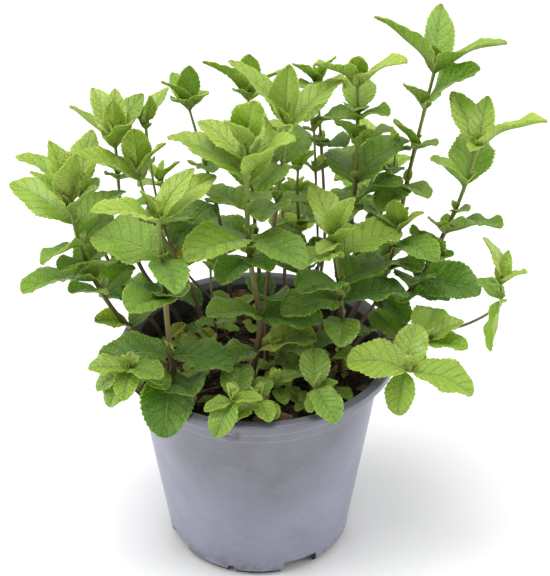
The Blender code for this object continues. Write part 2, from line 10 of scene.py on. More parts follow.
import bpy
import numpy as np
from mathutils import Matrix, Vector, noise
from mathutils.bvhtree import BVHTree


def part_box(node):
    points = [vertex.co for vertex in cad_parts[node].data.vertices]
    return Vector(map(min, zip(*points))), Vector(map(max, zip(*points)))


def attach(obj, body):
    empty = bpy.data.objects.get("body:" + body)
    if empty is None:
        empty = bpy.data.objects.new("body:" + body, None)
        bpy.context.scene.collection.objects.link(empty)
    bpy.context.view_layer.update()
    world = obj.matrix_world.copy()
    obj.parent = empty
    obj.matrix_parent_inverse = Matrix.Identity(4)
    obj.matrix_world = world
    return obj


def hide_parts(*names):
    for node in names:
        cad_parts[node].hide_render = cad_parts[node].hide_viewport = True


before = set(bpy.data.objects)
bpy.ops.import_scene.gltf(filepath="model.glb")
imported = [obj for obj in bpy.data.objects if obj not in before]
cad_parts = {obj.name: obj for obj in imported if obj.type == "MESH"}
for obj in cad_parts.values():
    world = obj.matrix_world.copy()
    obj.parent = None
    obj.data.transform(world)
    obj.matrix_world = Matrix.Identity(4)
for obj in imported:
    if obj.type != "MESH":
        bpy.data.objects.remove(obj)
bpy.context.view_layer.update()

MM = 0.001
_, pot_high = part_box("pot")
soil_low, soil_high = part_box("soil")


# --- The pot ------------------------------------------------------------------------------------------------
# A thin nursery pot, injection-moulded in grey-lavender plastic. It has a turned-out rim, a shallow collar
# under it, and a skirt with drain notches round a raised floor whose middle is sunk to the surface.

RIM_RADIUS = pot_high.x
POT_HEIGHT = pot_high.z
RIM_DEPTH = 3.5 * MM
RIM_INNER_RADIUS = RIM_RADIUS - 5.5 * MM
COLLAR_RADIUS = RIM_RADIUS - 6.5 * MM
COLLAR_HEIGHT = 12 * MM
COLLAR_STEP = 0.4 * MM
BASE_RADIUS = 47 * MM
FOOT_RADIUS = 44 * MM
FOOT_WIDTH = 1.6 * MM
BASE_ROUNDING = 5 * MM
FOOT_ROUND = 3.4 * MM
RIM_TOP_ROUND = 1.1 * MM
RIM_FOOT_ROUND = 0.6 * MM
SKIRT_HEIGHT = 8.5 * MM
SKIRT_WALL = 1.8 * MM
CENTRE_RADIUS = 12 * MM
CENTRE_SLOPE = 3 * MM
WALL = 1.2 * MM
FLOOR_THICKNESS = 1.7 * MM
POT_SIDES = 192
WIDE_NOTCH = (27, 24, 8.0 * MM)
NARROW_NOTCH = (-18, 5, 5.5 * MM)
NOTCH_SLANT = 1.5
CUT_BEYOND = 2 * MM
NOTCH_REACH = (FOOT_RADIUS - 9 * MM, BASE_RADIUS + CUT_BEYOND)
DRAIN_RADIUS = 4 * MM
DRAIN_CIRCLE_RADIUS = 29 * MM
DRAIN_COUNT = 6
DRAIN_SIDES = 24


def new_object(name, points, faces, *materials):
    mesh = bpy.data.meshes.new(name)
    mesh.from_pydata([tuple(p) for p in points], [], faces)
    mesh.update()
    for material in materials:
        mesh.materials.append(material)
    obj = bpy.data.objects.new(name, mesh)
    bpy.context.scene.collection.objects.link(obj)
    return obj


def smooth(obj, sharp_degrees=180):
    obj.data.shade_smooth()
    obj.data.set_sharp_from_angle(angle=math.radians(sharp_degrees))


def on_circle(radius, k, sides):
    """X and Y of point k of this many on a circle."""
    angle = math.tau * k / sides
    return radius * math.cos(angle), radius * math.sin(angle)


def quad(low, k, sides):
    """The face from side k of the ring of points that starts at index low up to the next ring."""
    after = (k + 1) % sides
    return low + k, low + after, low + sides + after, low + sides + k


def turned(profile, sides):
    """Points and faces of a closed (radius, height) profile turned about Z, from radius 0 to radius 0."""
    points = [Vector((0, 0, profile[0][1]))]
    for radius, height in profile[1:-1]:
        points += [Vector((*on_circle(radius, k, sides), height)) for k in range(sides)]
    points.append(Vector((0, 0, profile[-1][1])))
    rings = len(profile) - 2
    last = len(points) - 1
    faces = []
    for k in range(sides):
        after = (k + 1) % sides
        faces.append((0, 1 + after, 1 + k))
        faces.append((last, 1 + (rings - 1) * sides + k, 1 + (rings - 1) * sides + after))
        faces += [quad(1 + ring * sides, k, sides) for ring in range(rings - 1)]
    return points, faces


def arc(centre, radius, start, end, steps):
    """Points on a round in the profile, between two angles in degrees."""
    angles = [math.radians(start + (end - start) * k / steps) for k in range(steps + 1)]
    return [(centre[0] + radius * math.cos(a), centre[1] + radius * math.sin(a)) for a in angles]


def inner_wall_radius(height):
    share = (height - BASE_ROUNDING) / (POT_HEIGHT - RIM_DEPTH - BASE_ROUNDING)
    return BASE_RADIUS + (COLLAR_RADIUS - BASE_RADIUS) * share - WALL


def cutter(name, outline, bottom, top, top_outline=None):
    """A guide solid between two heights, straight or with another outline at its top."""
    count = len(outline)
    points = [(x, y, bottom) for x, y in outline] + [(x, y, top) for x, y in top_outline or outline]
    sides = [quad(0, k, count) for k in range(count)]
    return new_object(name, points, sides + [tuple(reversed(range(count))), tuple(range(count, 2 * count))])


def ring_sector(middle_degrees, width_degrees, inner, outer, steps=8):
    angles = [math.radians(middle_degrees + width_degrees * (k / steps - 0.5)) for k in range(steps + 1)]
    out = [(outer * math.cos(a), outer * math.sin(a)) for a in angles]
    return out + [(inner * math.cos(a), inner * math.sin(a)) for a in reversed(angles)]


under_rim = POT_HEIGHT - RIM_DEPTH
collar_foot = under_rim - COLLAR_HEIGHT
wall_at_collar = inner_wall_radius(collar_foot) + WALL
floor_top = SKIRT_HEIGHT + FLOOR_THICKNESS
pot_profile = [
    (0, 0),
    (CENTRE_RADIUS, 0),
    (CENTRE_RADIUS + 0.4 * MM, 0.4 * MM),
    (CENTRE_RADIUS + CENTRE_SLOPE - 0.3 * MM, SKIRT_HEIGHT - 0.6 * MM),
    (CENTRE_RADIUS + CENTRE_SLOPE + 0.3 * MM, SKIRT_HEIGHT),
    (BASE_RADIUS - SKIRT_WALL - 0.4 * MM, SKIRT_HEIGHT),
    (BASE_RADIUS - SKIRT_WALL + 0.1 * MM, SKIRT_HEIGHT - 0.6 * MM),
    (BASE_RADIUS - SKIRT_WALL - 0.6 * MM, 0.6 * BASE_ROUNDING),
    (FOOT_RADIUS - FOOT_WIDTH, 0.2 * MM),
    (FOOT_RADIUS - FOOT_WIDTH + 0.3 * MM, 0),
    (FOOT_RADIUS, 0),
    *arc((BASE_RADIUS - FOOT_ROUND, BASE_ROUNDING), FOOT_ROUND, -62, 0, 6),
    (wall_at_collar - COLLAR_STEP, collar_foot - 0.2 * MM),
    (wall_at_collar, collar_foot + COLLAR_STEP),
    (COLLAR_RADIUS, under_rim - 0.5 * MM),
    (COLLAR_RADIUS + 0.5 * MM, under_rim),
    (RIM_RADIUS - 0.8 * MM, under_rim),
    *arc((RIM_RADIUS - RIM_FOOT_ROUND, under_rim + RIM_FOOT_ROUND), RIM_FOOT_ROUND, -60, 0, 3),
    *arc((RIM_RADIUS - RIM_TOP_ROUND, POT_HEIGHT - RIM_TOP_ROUND), RIM_TOP_ROUND, 0, 90, 5),
    (RIM_INNER_RADIUS + 1.0 * MM, POT_HEIGHT),
    (RIM_INNER_RADIUS + 0.3 * MM, POT_HEIGHT - 0.3 * MM),
    (RIM_INNER_RADIUS - 0.2 * MM, POT_HEIGHT - 1.2 * MM),
    (COLLAR_RADIUS - WALL, under_rim - 0.5 * MM),
    (inner_wall_radius(floor_top + 1.5 * MM), floor_top + 1.5 * MM),
    (inner_wall_radius(floor_top) - 1.5 * MM, floor_top),
    (CENTRE_RADIUS + CENTRE_SLOPE - FLOOR_THICKNESS, floor_top),
    (CENTRE_RADIUS - 0.7 * FLOOR_THICKNESS, FLOOR_THICKNESS),
    (0, FLOOR_THICKNESS),
]


class Wire:
    """A value in a material. Python's operators on it add Math nodes to the material's tree."""

    def __init__(self, tree, socket=None):
        self.tree = tree
        self.socket = socket

    def node(self, kind, settings=None, sockets=None, output=0):
        """Adds a node: its settings first, then the values or links of its sockets."""
        prefix = "" if kind.startswith(("GeometryNode", "FunctionNode")) else "ShaderNode"
        made = self.tree.nodes.new(prefix + kind)
        for name, value in (settings or {}).items():
            if name == "stops":
                for _ in value[2:]:
                    made.color_ramp.elements.new(0.5)
                for element, (place, colour) in zip(made.color_ramp.elements, value):
                    element.position = place
                    element.color = (*colour, 1)
            else:
                setattr(made, name, value)
        for name, value in (sockets or {}).items():
            self.feed(made.inputs[name], value)
        return Wire(self.tree, made.outputs[output])

    def feed(self, socket, value):
        if isinstance(value, Wire):
            self.tree.links.new(value.socket, socket)
        elif isinstance(value, tuple) and len(value) == 3 and socket.type == "RGBA":
            socket.default_value = (*value, 1)
        else:
            socket.default_value = value

    def parts(self, kind, whole, names):
        """The named outputs of one node that separates a value."""
        node = self.node(kind, None, {0: whole}).socket.node
        return [Wire(self.tree, node.outputs[name]) for name in names]

    def maths(self, operation, *values):
        return self.node("Math", {"operation": operation}, dict(enumerate(values)))

    def __add__(self, other):
        return self.maths("ADD", self, other)

    def __mul__(self, other):
        return self.maths("MULTIPLY", self, other)

    def __sub__(self, other):
        return self.maths("SUBTRACT", self, other)

    def __rsub__(self, other):
        return self.maths("SUBTRACT", other, self)

    __radd__ = __add__
    __rmul__ = __mul__

    def between(self, low, high):
        """0 where this is at or under low and 1 at or over high, with a soft step between them."""
        return self.node("MapRange", {"interpolation_type": "SMOOTHSTEP"},
                         {"Value": self, "From Min": low, "From Max": high})

    def mix(self, first, second):
        """A colour from first, where this is 0, to second, where it is 1."""
        return self.node("Mix", {"data_type": "RGBA"}, {0: self, 6: first, 7: second}, 2)

    def noise(self, place, scale, detail=3, roughness=0.5):
        return self.node("TexNoise", None, {"Vector": place, "Scale": scale, "Detail": detail,
                                            "Roughness": roughness})

    def stretched(self, place, x, y, z):
        return self.node("Mapping", None, {"Vector": place, "Scale": (x, y, z)})

    def bump(self, height, distance, strength):
        return self.node("Bump", None, {"Height": height, "Distance": distance, "Strength": strength})


def material(name, **constants):
    """A new material's tree wire and its shader. Constants go straight on the shader's sockets."""
    made = bpy.data.materials.new(name)
    made.use_nodes = True
    shader = made.node_tree.nodes["Principled BSDF"]
    for socket, value in constants.items():
        shader.inputs[socket.replace("_", " ")].default_value = value
    return made, Wire(made.node_tree), shader.inputs


WALL_SLOPE = (COLLAR_RADIUS - BASE_RADIUS) / (POT_HEIGHT - RIM_DEPTH - BASE_ROUNDING)
INNER_AT_ZERO = inner_wall_radius(0)
SMEAR = (-13 * MM, -61 * MM, 101 * MM)
SMEAR_REACH = (2 * MM, 7 * MM)
COLLAR_LINES = ((96.5 * MM, 0.7 * MM), (101.5 * MM, 0.5 * MM))
COLLAR_LINE_CORE = 0.1 * MM
LAVENDER = (0.186, 0.192, 0.262)
PALE_LAVENDER = (0.228, 0.235, 0.312)
# The grey of the painted shade on the pot's wall.
PAINTED_SHADE_GREY = (0.108, 0.110, 0.120)
WORN_LINE = (0.34, 0.35, 0.40)
FOOT_GRIME = (0.115, 0.095, 0.082)
SCUFF_GREY = (0.30, 0.31, 0.37)
DIRT_BROWN = (0.075, 0.060, 0.055)
INSIDE_BLACK = (0.016, 0.012, 0.010)
SPECK_BROWN = (0.06, 0.045, 0.04)


def pot_finish():
    """Lavender plastic with painted shade up the middle of its wall, scuffs, soil dirt at its foot, and a
    dark inside.
    """
    made, wire, shader = material("pot_plastic", IOR=1.58)
    place = wire.node("TexCoord", output="Object")
    x, y, height = wire.parts("SeparateXYZ", place, "XYZ")
    radial = wire.maths("SQRT", x * x + y * y)
    inside = 1 - (radial - height * WALL_SLOPE).between(INNER_AT_ZERO + 0.3 * MM, INNER_AT_ZERO + 0.9 * MM)
    to_smear = wire.node("VectorMath", {"operation": "DISTANCE"}, {0: place, 1: SMEAR}, "Value")
    smear = 1 - to_smear.between(*SMEAR_REACH)
    cloud = wire.noise(place, 22, 4, 0.6)
    scuffs = wire.noise(wire.stretched(place, 1, 1, 5), 46, 6, 0.75).between(0.52, 0.78)
    speck = wire.noise(place, 520, 2).between(0.70, 0.76)
    low_dirt = 1 - (height + cloud * (20 * MM)).between(8 * MM, 24 * MM)
    dirt = low_dirt * wire.noise(place, 160, 5, 0.7).between(0.42, 0.58)
    dirt = wire.maths("MAXIMUM", dirt, smear * wire.noise(place, 260, 4, 0.7).between(0.40, 0.55))
    mottle = wire.noise(place, 48, 4, 0.65)
    # Painted shade: mottled, deeper up the wall and in its middle facing the camera, fading out to the sides.
    shade_level = height + (mottle - 0.5) * (30 * MM) - (x * x) * 14
    painted_shade = shade_level.between(30 * MM, 72 * MM) * (0.55 + 0.45 * mottle.between(0.35, 0.65))
    worn_lines = [1 - wire.maths("ABSOLUTE", height - level).between(COLLAR_LINE_CORE, reach)
                  for level, reach in COLLAR_LINES]
    foot_edge = 1 - (height + (mottle - 0.5) * (4 * MM)).between(0.8 * MM, 3 * MM)
    plastic = mottle.between(0.3, 0.7).mix(LAVENDER, PALE_LAVENDER)
    plastic = (painted_shade * 0.80).mix(plastic, PAINTED_SHADE_GREY)
    plastic = ((worn_lines[0] + worn_lines[1]) * 0.35).mix(plastic, WORN_LINE)
    plastic = (foot_edge * 0.7).mix(plastic, FOOT_GRIME)
    plastic = (scuffs * 0.22).mix(plastic, SCUFF_GREY)
    plastic = (dirt * 0.75).mix(plastic, DIRT_BROWN)
    plastic = (inside * (0.85 + 0.15 * wire.noise(place, 90, 4, 0.7))).mix(plastic, INSIDE_BLACK)
    plastic = (speck * 0.7).mix(plastic, SPECK_BROWN)
    wire.feed(shader["Base Color"], plastic)
    wire.feed(shader["Roughness"], 0.30 + 0.14 * cloud + 0.3 * dirt + 0.12 * scuffs + 0.4 * inside)
    grain = wire.noise(place, 1800, 2)
    wire.feed(shader["Normal"], wire.bump(grain + scuffs * 0.6 + dirt * 2, 0.05 * MM, 0.6))
    return made


pot = new_object("nursery_pot", *turned(pot_profile, POT_SIDES), pot_finish())
cutters = []
for quarter in range(4):
    for middle, width, notch in (WIDE_NOTCH, NARROW_NOTCH):
        low, high = (ring_sector(middle - 90 + 90 * quarter, wide, *NOTCH_REACH)
                     for wide in (width + NOTCH_SLANT, width - NOTCH_SLANT))
        cutters.append(cutter("notch", low, -CUT_BEYOND, notch, high))
drain = [on_circle(DRAIN_RADIUS, k, DRAIN_SIDES) for k in range(DRAIN_SIDES)]
for k in range(DRAIN_COUNT):
    x, y = on_circle(DRAIN_CIRCLE_RADIUS, k + 0.5, DRAIN_COUNT)
    hole = [(x + px, y + py) for px, py in drain]
    cutters.append(cutter("drain", hole, SKIRT_HEIGHT - CUT_BEYOND, floor_top + CUT_BEYOND))
tools = bpy.data.collections.new("pot_tools")
bpy.context.scene.collection.children.link(tools)
for tool in cutters:
    tools.objects.link(tool)
    bpy.context.scene.collection.objects.unlink(tool)
cut = pot.modifiers.new("Notches", "BOOLEAN")
cut.operation, cut.operand_type, cut.collection, cut.solver = "DIFFERENCE", "COLLECTION", tools, "EXACT"
cut_mesh = bpy.data.meshes.new_from_object(pot.evaluated_get(bpy.context.evaluated_depsgraph_get()))
pot.modifiers.clear()
pot.data = cut_mesh
for tool in cutters:
    bpy.data.objects.remove(tool, do_unlink=True)
bpy.data.collections.remove(tools)
smooth(pot, 35)
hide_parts("pot")
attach(pot, "root")


# --- The soil -----------------------------------------------------------------------------------------------
# Near-black potting compost of peat and bark that fills the pot to under its rim. Its surface is lumpy, with
# crumbs, reddish bark chips and dry fibres lying all over it. The stems stand in it.

SOIL_EDGE = inner_wall_radius(soil_high.z - 2 * MM) - 0.4 * MM
SOIL_RINGS = 56
SOIL_SIDES = 176
LUMP = 1.6 * MM
LOWEST_LITTER = 6 * MM
SOIL_DARK = (0.008, 0.006, 0.005)
SOIL_BROWN = (0.032, 0.019, 0.013)
FLECK_BROWN = (0.085, 0.050, 0.032)


def soil_height(x, y):
    """The surface's height: slow swells, lumps, and a fall towards the wall."""
    radius = math.hypot(x, y)
    swell = noise.noise(Vector((x, y, 0)) * 45)
    lumps = noise.noise(Vector((x, y, 0.3)) * 170)
    grit = noise.noise(Vector((x, y, 0.7)) * 520)
    fall = 2.0 * MM * max(0, radius / SOIL_EDGE - 0.55) ** 2 / 0.2
    return soil_high.z - 1.2 * MM - fall + LUMP * (0.7 * swell + 0.6 * lumps + 0.35 * grit)


bottom_radius = inner_wall_radius(soil_low.z) - 2.0 * MM
points = [Vector((0, 0, soil_low.z))]
points += [Vector((*on_circle(bottom_radius, k, SOIL_SIDES), soil_low.z)) for k in range(SOIL_SIDES)]
for ring in range(SOIL_RINGS, 0, -1):
    for k in range(SOIL_SIDES):
        x, y = on_circle(SOIL_EDGE * ring / SOIL_RINGS, k, SOIL_SIDES)
        points.append(Vector((x, y, soil_height(x, y))))
points.append(Vector((0, 0, soil_height(0, 0))))
top_ring = 1 + SOIL_RINGS * SOIL_SIDES
faces = []
for k in range(SOIL_SIDES):
    after = (k + 1) % SOIL_SIDES
    faces.append((0, 1 + after, 1 + k))
    faces += [quad(1 + ring * SOIL_SIDES, k, SOIL_SIDES) for ring in range(SOIL_RINGS)]
    faces.append((len(points) - 1, top_ring + k, top_ring + after))

compost, wire, shader = material("compost")
place = wire.node("TexCoord", output="Object")
patches = wire.noise(place, 90, 5, 0.65)
crumbs = wire.node("TexVoronoi", {"feature": "F1"}, {"Vector": place, "Scale": 480})
fleck = wire.noise(wire.stretched(place, 1, 3, 1), 260, 3).between(0.60, 0.66)
earth = patches.between(0.42, 0.62).mix(SOIL_DARK, SOIL_BROWN)
earth = (fleck * 0.8).mix(earth, FLECK_BROWN)
wire.feed(shader["Base Color"], earth)
wire.feed(shader["Roughness"], 0.98 - 0.35 * patches)
wire.feed(shader["Normal"], wire.bump(crumbs + patches, 1 * MM, 1.0))

soil = new_object("potting_soil", points, faces, compost)
smooth(soil)
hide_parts("soil")
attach(soil, "root")


def scatter_tree():
    """A Geometry Nodes tree that strews copies of a piece over a surface, within a height and a reach."""
    tree = bpy.data.node_groups.new("Strew", "GeometryNodeTree")
    kinds = {"Surface": "Geometry", "Piece": "Object", "Density": "Float", "Seed": "Int", "Smallest": "Float",
             "Largest": "Float", "Tilt": "Float", "Lowest": "Float", "Reach": "Float", "Finish": "Material"}
    for name, kind in kinds.items():
        tree.interface.new_socket(name, in_out="INPUT", socket_type="NodeSocket" + kind)
    tree.interface.new_socket("Pieces", in_out="OUTPUT", socket_type="NodeSocketGeometry")
    start = Wire(tree)
    group = tree.nodes.new("NodeGroupInput")
    given = {name: Wire(tree, group.outputs[name]) for name in kinds}
    spots = start.node("GeometryNodeDistributePointsOnFaces", None,
                       {"Mesh": given["Surface"], "Density": given["Density"], "Seed": given["Seed"]})
    position = start.node("GeometryNodeInputPosition")
    x, y, z = start.parts("SeparateXYZ", position, "XYZ")
    low = start.node("FunctionNodeCompare", {"operation": "LESS_THAN"}, {0: z, 1: given["Lowest"]})
    outside = start.node("FunctionNodeCompare", {"operation": "GREATER_THAN"},
                         {0: start.maths("SQRT", x * x + y * y), 1: given["Reach"]})
    unwanted = start.node("FunctionNodeBooleanMath", {"operation": "OR"}, {0: low, 1: outside})
    spots = start.node("GeometryNodeDeleteGeometry", {"domain": "POINT"}, {0: spots, "Selection": unwanted})
    piece = start.node("GeometryNodeObjectInfo", None, {"Object": given["Piece"]}, "Geometry")
    lean = start.node("CombineXYZ", None, {0: given["Tilt"], 1: given["Tilt"], 2: math.tau})
    turn = start.node("FunctionNodeRandomValue", {"data_type": "FLOAT_VECTOR"},
                      {0: (0, 0, 0), 1: lean, "Seed": given["Seed"]})
    size = start.node("FunctionNodeRandomValue", {"data_type": "FLOAT"},
                      {2: given["Smallest"], 3: given["Largest"], "Seed": given["Seed"]}, 1)
    copies = start.node("GeometryNodeInstanceOnPoints", None,
                        {"Points": spots, "Instance": piece, "Rotation": turn, "Scale": size})
    real = start.node("GeometryNodeRealizeInstances", None, {0: copies})
    finished = start.node("GeometryNodeSetMaterial", None, {0: real, "Material": given["Finish"]})
    end = tree.nodes.new("NodeGroupOutput")
    tree.links.new(finished.socket, end.inputs["Pieces"])
    return tree


def strew(name, surface, tree, inputs):
    """A plain mesh of what the tree strews over a copy of the surface."""
    carrier = surface.copy()
    carrier.data = surface.data.copy()
    bpy.context.scene.collection.objects.link(carrier)
    scatter = carrier.modifiers.new("Strew", "NODES")
    scatter.node_group = tree
    sockets = {item.name: item.identifier for item in tree.interface.items_tree}
    for title, value in inputs.items():
        scatter[sockets[title]] = value
    graph = bpy.context.evaluated_depsgraph_get()
    mesh = bpy.data.meshes.new_from_object(carrier.evaluated_get(graph))
    mesh.name = name
    obj = bpy.data.objects.new(name, mesh)
    bpy.context.scene.collection.objects.link(obj)
    bpy.data.objects.remove(carrier, do_unlink=True)
    return obj


def rough_ball(name, size, flatness, seed):
    """A lumpy crumb of a few faces."""
    draw = random.Random(seed)
    golden = (1 + math.sqrt(5)) / 2
    corners = [Vector(c).normalized() for a in (-1, 1) for b in (-golden, golden)
               for c in ((a, b, 0), (0, a, b), (b, 0, a))]
    sides = [(i, j, k) for i in range(12) for j in range(i + 1, 12) for k in range(j + 1, 12)
             if all((corners[p] - corners[q]).length < 1.1 for p, q in ((i, j), (j, k), (i, k)))]
    outward = [(i, j, k) if (corners[j] - corners[i]).cross(corners[k] - corners[i]).dot(corners[i]) > 0
               else (i, k, j) for i, j, k in sides]
    scaled = [Vector((c.x * draw.uniform(0.6, 1.3), c.y * draw.uniform(0.6, 1.0),
                      c.z * flatness * draw.uniform(0.6, 1.2))) * size for c in corners]
    return new_object(name, scaled, outward)


STRIP_STEPS = 6


def strip(name, length, width, bend, sides=3):
    """A dry stalk or fibre: a thin bent tube that narrows to its ends."""
    points = []
    for step in range(STRIP_STEPS + 1):
        share = step / STRIP_STEPS
        angle = bend * (share - 0.5)
        centre = Vector((length * (share - 0.5), length * 0.5 * bend * (share - 0.5) ** 2, 0.4 * width))
        radius = width * (0.55 + 0.45 * math.sin(math.pi * share))
        for k in range(sides):
            turn = math.tau * k / sides
            across = Vector((-math.sin(angle), math.cos(angle), 0)) * math.cos(turn)
            points.append(centre + (across + Vector((0, 0, math.sin(turn)))) * radius / 2)
    end = STRIP_STEPS * sides
    faces = [tuple(range(sides)), tuple(reversed(range(end, end + sides)))]
    faces += [quad(low, k, sides)[::-1] for low in range(0, end, sides) for k in range(sides)]
    return new_object(name, points, faces)


def litter_finish(name, dark, light, scale):
    """A dry, matt finish that changes from piece to piece."""
    made, wire, shader = material(name)
    place = wire.node("TexCoord", output="Object")
    patches = wire.noise(place, scale, 3, 0.6)
    wire.feed(shader["Base Color"], patches.between(0.38, 0.62).mix(dark, light))
    wire.feed(shader["Roughness"], 0.95 - 0.25 * patches)
    wire.feed(shader["Normal"], wire.bump(wire.noise(place, 1500, 3), 0.2 * MM, 0.8))
    return made


strewing = scatter_tree()
on_soil = (
    ("soil_crumbs", rough_ball("crumb", 1.1 * MM, 0.8, 1), 230000, 3, 0.5, 1.6, math.tau, 2.5 * MM,
     litter_finish("crumb_earth", (0.012, 0.008, 0.006), (0.050, 0.026, 0.016), 210)),
    ("bark_chips", rough_ball("chip", 2.6 * MM, 0.35, 2), 15000, 4, 0.5, 1.5, 0.9, 5 * MM,
     litter_finish("bark", (0.030, 0.014, 0.009), (0.130, 0.055, 0.030), 150)),
    ("dry_fibres", strip("fibre", 15 * MM, 0.45 * MM, 1.6), 26000, 5, 0.4, 1.3, 0.35, 10 * MM,
     litter_finish("fibre_straw", (0.060, 0.030, 0.018), (0.24, 0.14, 0.075), 120)),
    ("dry_stalks", strip("stalk", 17 * MM, 1.3 * MM, 0.5, 5), 4200, 9, 0.5, 1.2, 0.25, 11 * MM,
     litter_finish("stalk_brown", (0.075, 0.030, 0.016), (0.20, 0.085, 0.045), 130)),
)
for name, piece, density, seed, smallest, largest, tilt, margin, finish in on_soil:
    layer = strew(name, soil, strewing, {
        "Piece": piece, "Density": density, "Seed": seed, "Smallest": smallest, "Largest": largest,
        "Tilt": tilt, "Finish": finish, "Lowest": soil_high.z - LOWEST_LITTER, "Reach": SOIL_EDGE - margin})
    bpy.data.objects.remove(piece, do_unlink=True)
    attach(layer, "root")


# --- The leafy stems ----------------------------------------------------------------------------------------
# Each shoot is one grown piece: a square stem, purple-brown at the soil and green at the tip, with leaves in
# opposite pairs. The blades are toothed, and puckered between their veins.

